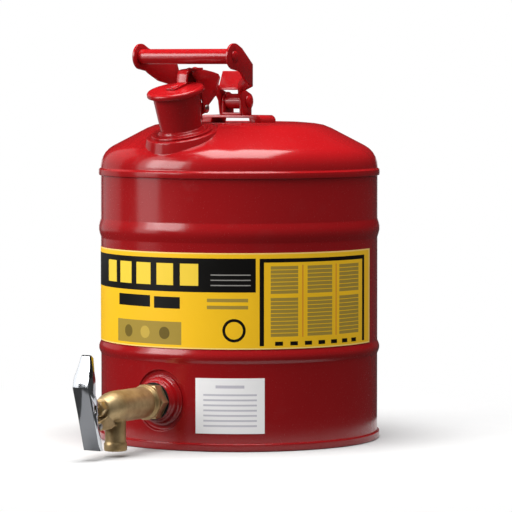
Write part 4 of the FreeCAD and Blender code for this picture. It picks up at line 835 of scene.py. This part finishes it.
class CAN_OT_stage(bpy.types.Operator):
    """Floor, dark studio walls that only reflections see, lamps and camera"""

    bl_idname = "safetycan.stage"
    bl_label = "Stage"

    def execute(self, context):
        scene = context.scene
        scene.view_settings.view_transform = "Standard"
        self.floor()
        self.studio_walls()
        self.sky(scene)
        turned = sizes().camera_azimuth
        self.lamp("overhead", self.stand(0, 0.28, 1.45), size=(0.9, 1.04), power=22, roll=turned)
        fill = self.lamp("top_fill", (0, 0, 2.2), size=(1.2, 1.2), power=42, roll=turned)
        fill.visible_glossy = False
        self.lamp("side_strip", self.stand(-74.5, 0.74, 0.48), size=(0.3, 0.8), power=1.2, aim=0.3)
        self.lamp("left_card", self.stand(-126, 0.72, 0.5), size=(0.5, 0.7), power=0.42, aim=0.5)
        self.lamp("key", (-1.3, -2.2, 1.25), size=(1.6, 1.3), power=43, aim=0.16)
        self.camera(scene)
        return {"FINISHED"}

    def stand(self, degrees, reach, height):
        """A spot round the can, turned to the right from the camera's side."""
        turned = sizes().camera_azimuth + math.radians(degrees)
        return (reach * math.sin(turned), -reach * math.cos(turned), height)

    def floor(self):
        clear_selection()
        bpy.ops.mesh.primitive_grid_add(x_subdivisions=4, y_subdivisions=4, size=14)
        floor = bpy.context.object
        floor.name = "floor"
        shop = Shop("floor_paper")
        x, y, _ = shop.axes()
        grain = shop.noise(40, 3.0, 0.5)
        away = shop.math("SQRT", x * x + y * y)
        far = shop.add("ShaderNodeMapRange", {"interpolation_type": "SMOOTHSTEP"},
                       {"Value": away, "From Min": 260.0, "From Max": 620.0})
        seen = self.background_rays(shop)
        paper = shop.mix(grain, (0.47, 0.47, 0.47), (0.49, 0.49, 0.49))
        colour = shop.mix(seen, (0.07, 0.07, 0.07), paper)
        near = shop.add("ShaderNodeBsdfPrincipled", None,
                        {"Base Color": colour, "Roughness": 0.7, "Specular IOR Level": 0.1})
        white = shop.add("ShaderNodeEmission", None, {"Color": (1, 1, 1, 1), "Strength": 1.0})
        surface = shop.add("ShaderNodeMixShader", None, {0: far * seen, 1: near, 2: white})
        shop.add("ShaderNodeOutputMaterial", None, {"Surface": surface})
        floor.data.materials.append(shop.material)

    def background_rays(self, shop):
        """1 for camera, mirrored and transmitted rays, which show the background."""
        path = shop.tree.nodes.new("ShaderNodeLightPath")
        rays = ("Is Camera Ray", "Is Glossy Ray", "Is Transmission Ray")
        camera, glossy, through = (Wire(shop, path.outputs[name]) for name in rays)
        return shop.math("MAXIMUM", camera, shop.math("MAXIMUM", glossy, through))

    def studio_walls(self):
        """A dark round room, low down open behind the can, that only mirrored rays meet."""
        room = lathe("studio_walls", [
            (245, 1.5), (400, 8), (1150, 250), (2900, 400), (2900, 2400), (0, 2400),
        ], 72, closed=False)
        behind = Vector(self.stand(180, 1, 0))
        gap_height, half_gap = 0.4, math.radians(20)
        bpy.ops.object.mode_set(mode="EDIT")
        bpy.ops.mesh.select_all(action="DESELECT")
        bpy.ops.object.mode_set(mode="OBJECT")
        for face in room.data.polygons:
            flat = Vector((face.center.x, face.center.y, 0)).normalized()
            face.select = face.center.z < gap_height and flat.dot(behind) > math.cos(half_gap)
        bpy.ops.object.mode_set(mode="EDIT")
        bpy.ops.mesh.delete(type="FACE")
        bpy.ops.object.mode_set(mode="OBJECT")
        shop = Shop("dark_cloth")
        x, y, z = shop.axes()
        cloth = shop.noise(30, 3.0, 0.5)
        dark = shop.mix(cloth, (0.02, 0.02, 0.02), (0.03, 0.03, 0.03))
        grey_card = patch_of(shop, x, y, (-72, 24, -374, -266)) * (z < 200)
        shop.finish(Base_Color=shop.mix(grey_card, dark, (0.15, 0.15, 0.153)), Roughness=0.9,
                    Specular_IOR_Level=0.0)
        room.data.materials.append(shop.material)
        for rays in ("camera", "diffuse", "shadow", "transmission"):
            setattr(room, "visible_" + rays, False)

    def sky(self, scene):
        world = scene.world or bpy.data.worlds.new("studio")
        scene.world = world
        world.use_nodes = True
        nodes, links = world.node_tree.nodes, world.node_tree.links
        nodes.clear()
        path = nodes.new("ShaderNodeLightPath")
        shown = path.outputs["Is Camera Ray"]
        for name in ("Is Glossy Ray", "Is Transmission Ray"):
            either = nodes.new("ShaderNodeMath")
            either.operation = "MAXIMUM"
            links.new(shown, either.inputs[0])
            links.new(path.outputs[name], either.inputs[1])
            shown = either.outputs[0]
        level = nodes.new("ShaderNodeMapRange")
        level.inputs["To Min"].default_value = 0.68  # what lights the can
        level.inputs["To Max"].default_value = 1.0  # the white that is seen
        links.new(shown, level.inputs["Value"])
        back = nodes.new("ShaderNodeBackground")
        back.inputs["Color"].default_value = (1, 1, 1, 1)
        links.new(level.outputs[0], back.inputs["Strength"])
        out = nodes.new("ShaderNodeOutputWorld")
        links.new(back.outputs[0], out.inputs[0])

    def camera(self, scene):
        set_up = sizes()
        turned = set_up.camera_azimuth
        bpy.ops.object.camera_add()
        camera = bpy.context.object
        camera.name = "camera"
        camera.data.lens = 232.8
        camera.data.sensor_width = 36
        camera.data.clip_start, camera.data.clip_end = 0.05, 60
        camera.location = self.stand(0, set_up.camera_distance, set_up.camera_height)
        yaw, pitch = math.radians(0.29), math.radians(3.28)
        ahead = Vector((-math.sin(turned), math.cos(turned), 0)) * math.cos(yaw)
        ahead += Vector((math.cos(turned), math.sin(turned), 0)) * math.sin(yaw)
        ahead = ahead * math.cos(pitch) + Vector((0, 0, -math.sin(pitch)))
        camera.rotation_mode = "QUATERNION"
        camera.rotation_quaternion = ahead.to_track_quat("-Z", "Y")
        scene.camera = camera

    def lamp(self, name, spot, size, power, aim=0.0, roll=None):
        """An area lamp aimed at a height on the can's axis, or straight down with a roll."""
        bpy.ops.object.light_add(type="AREA", location=spot)
        lamp = bpy.context.object
        lamp.name = name
        lamp.data.shape = "RECTANGLE"
        lamp.data.size, lamp.data.size_y = size
        lamp.data.energy = power
        if roll is None:
            way = Vector((0, 0, aim)) - Vector(spot)
            lamp.rotation_euler = way.to_track_quat("-Z", "Y").to_euler()
        else:
            lamp.rotation_euler = (0, 0, roll)
        return lamp


class CAN_OT_solids(bpy.types.Operator):
    """Finishes of the solids that keep their own shape"""

    bl_idname = "safetycan.solids"
    bl_label = "Finishes of the solids"

    def execute(self, context):
        by_slot = {
            "red_enamel": "enamel_parts",
            "chrome": "chrome",
            "zinc_steel": "zinc",
            "brass": "cast_brass",
            "black_rubber": "rubber",
            "yellow_label": "wrap_print",
            "white_label": "notice_print",
        }
        turned = {"packing_nut", "faucet_nipple", "valve_stem", "valve_screw"}
        slots = {item["node"]: item["material_slot"] for item in frame["record"]["subparts"]}
        for name, node in frame["nodes"].items():
            finish = "turned_brass" if name in turned else by_slot[slots[name]]
            node.data.materials.clear()
            node.data.materials.append(finish_of(finish))
        return {"FINISHED"}


class CAN_PT_panel(bpy.types.Panel):
    """Buttons for the pieces"""

    bl_idname = "CAN_PT_panel"
    bl_label = "Safety Can"
    bl_space_type = "VIEW_3D"
    bl_region_type = "UI"
    bl_category = "Safety Can"

    def draw(self, context):
        column = self.layout.column()
        for holder in (context.scene.can_sizes, context.scene.can_colours):
            for field in holder.__annotations__:
                column.prop(holder, field)
        for piece in OPERATORS:
            column.operator(piece.bl_idname)


OPERATORS = (
    CAN_OT_solids,
    CAN_OT_wall,
    CAN_OT_dome,
    CAN_OT_pan,
    CAN_OT_spout,
    CAN_OT_cap,
    CAN_OT_handle,
    CAN_OT_faucet,
    CAN_OT_stage,
)
CLASSES = (CanSizes, CanColours, *OPERATORS, CAN_PT_panel)


def register():
    for item in CLASSES:
        bpy.utils.register_class(item)
    bpy.types.Scene.can_sizes = PointerProperty(type=CanSizes)
    bpy.types.Scene.can_colours = PointerProperty(type=CanColours)


def unregister():
    del bpy.types.Scene.can_sizes
    del bpy.types.Scene.can_colours
    for item in reversed(CLASSES):
        bpy.utils.unregister_class(item)


def main():
    register()
    clear_selection()
    for piece in OPERATORS:
        group, name = piece.bl_idname.split(".")
        getattr(getattr(bpy.ops, group), name)()


if __name__ == "__main__":
    main()
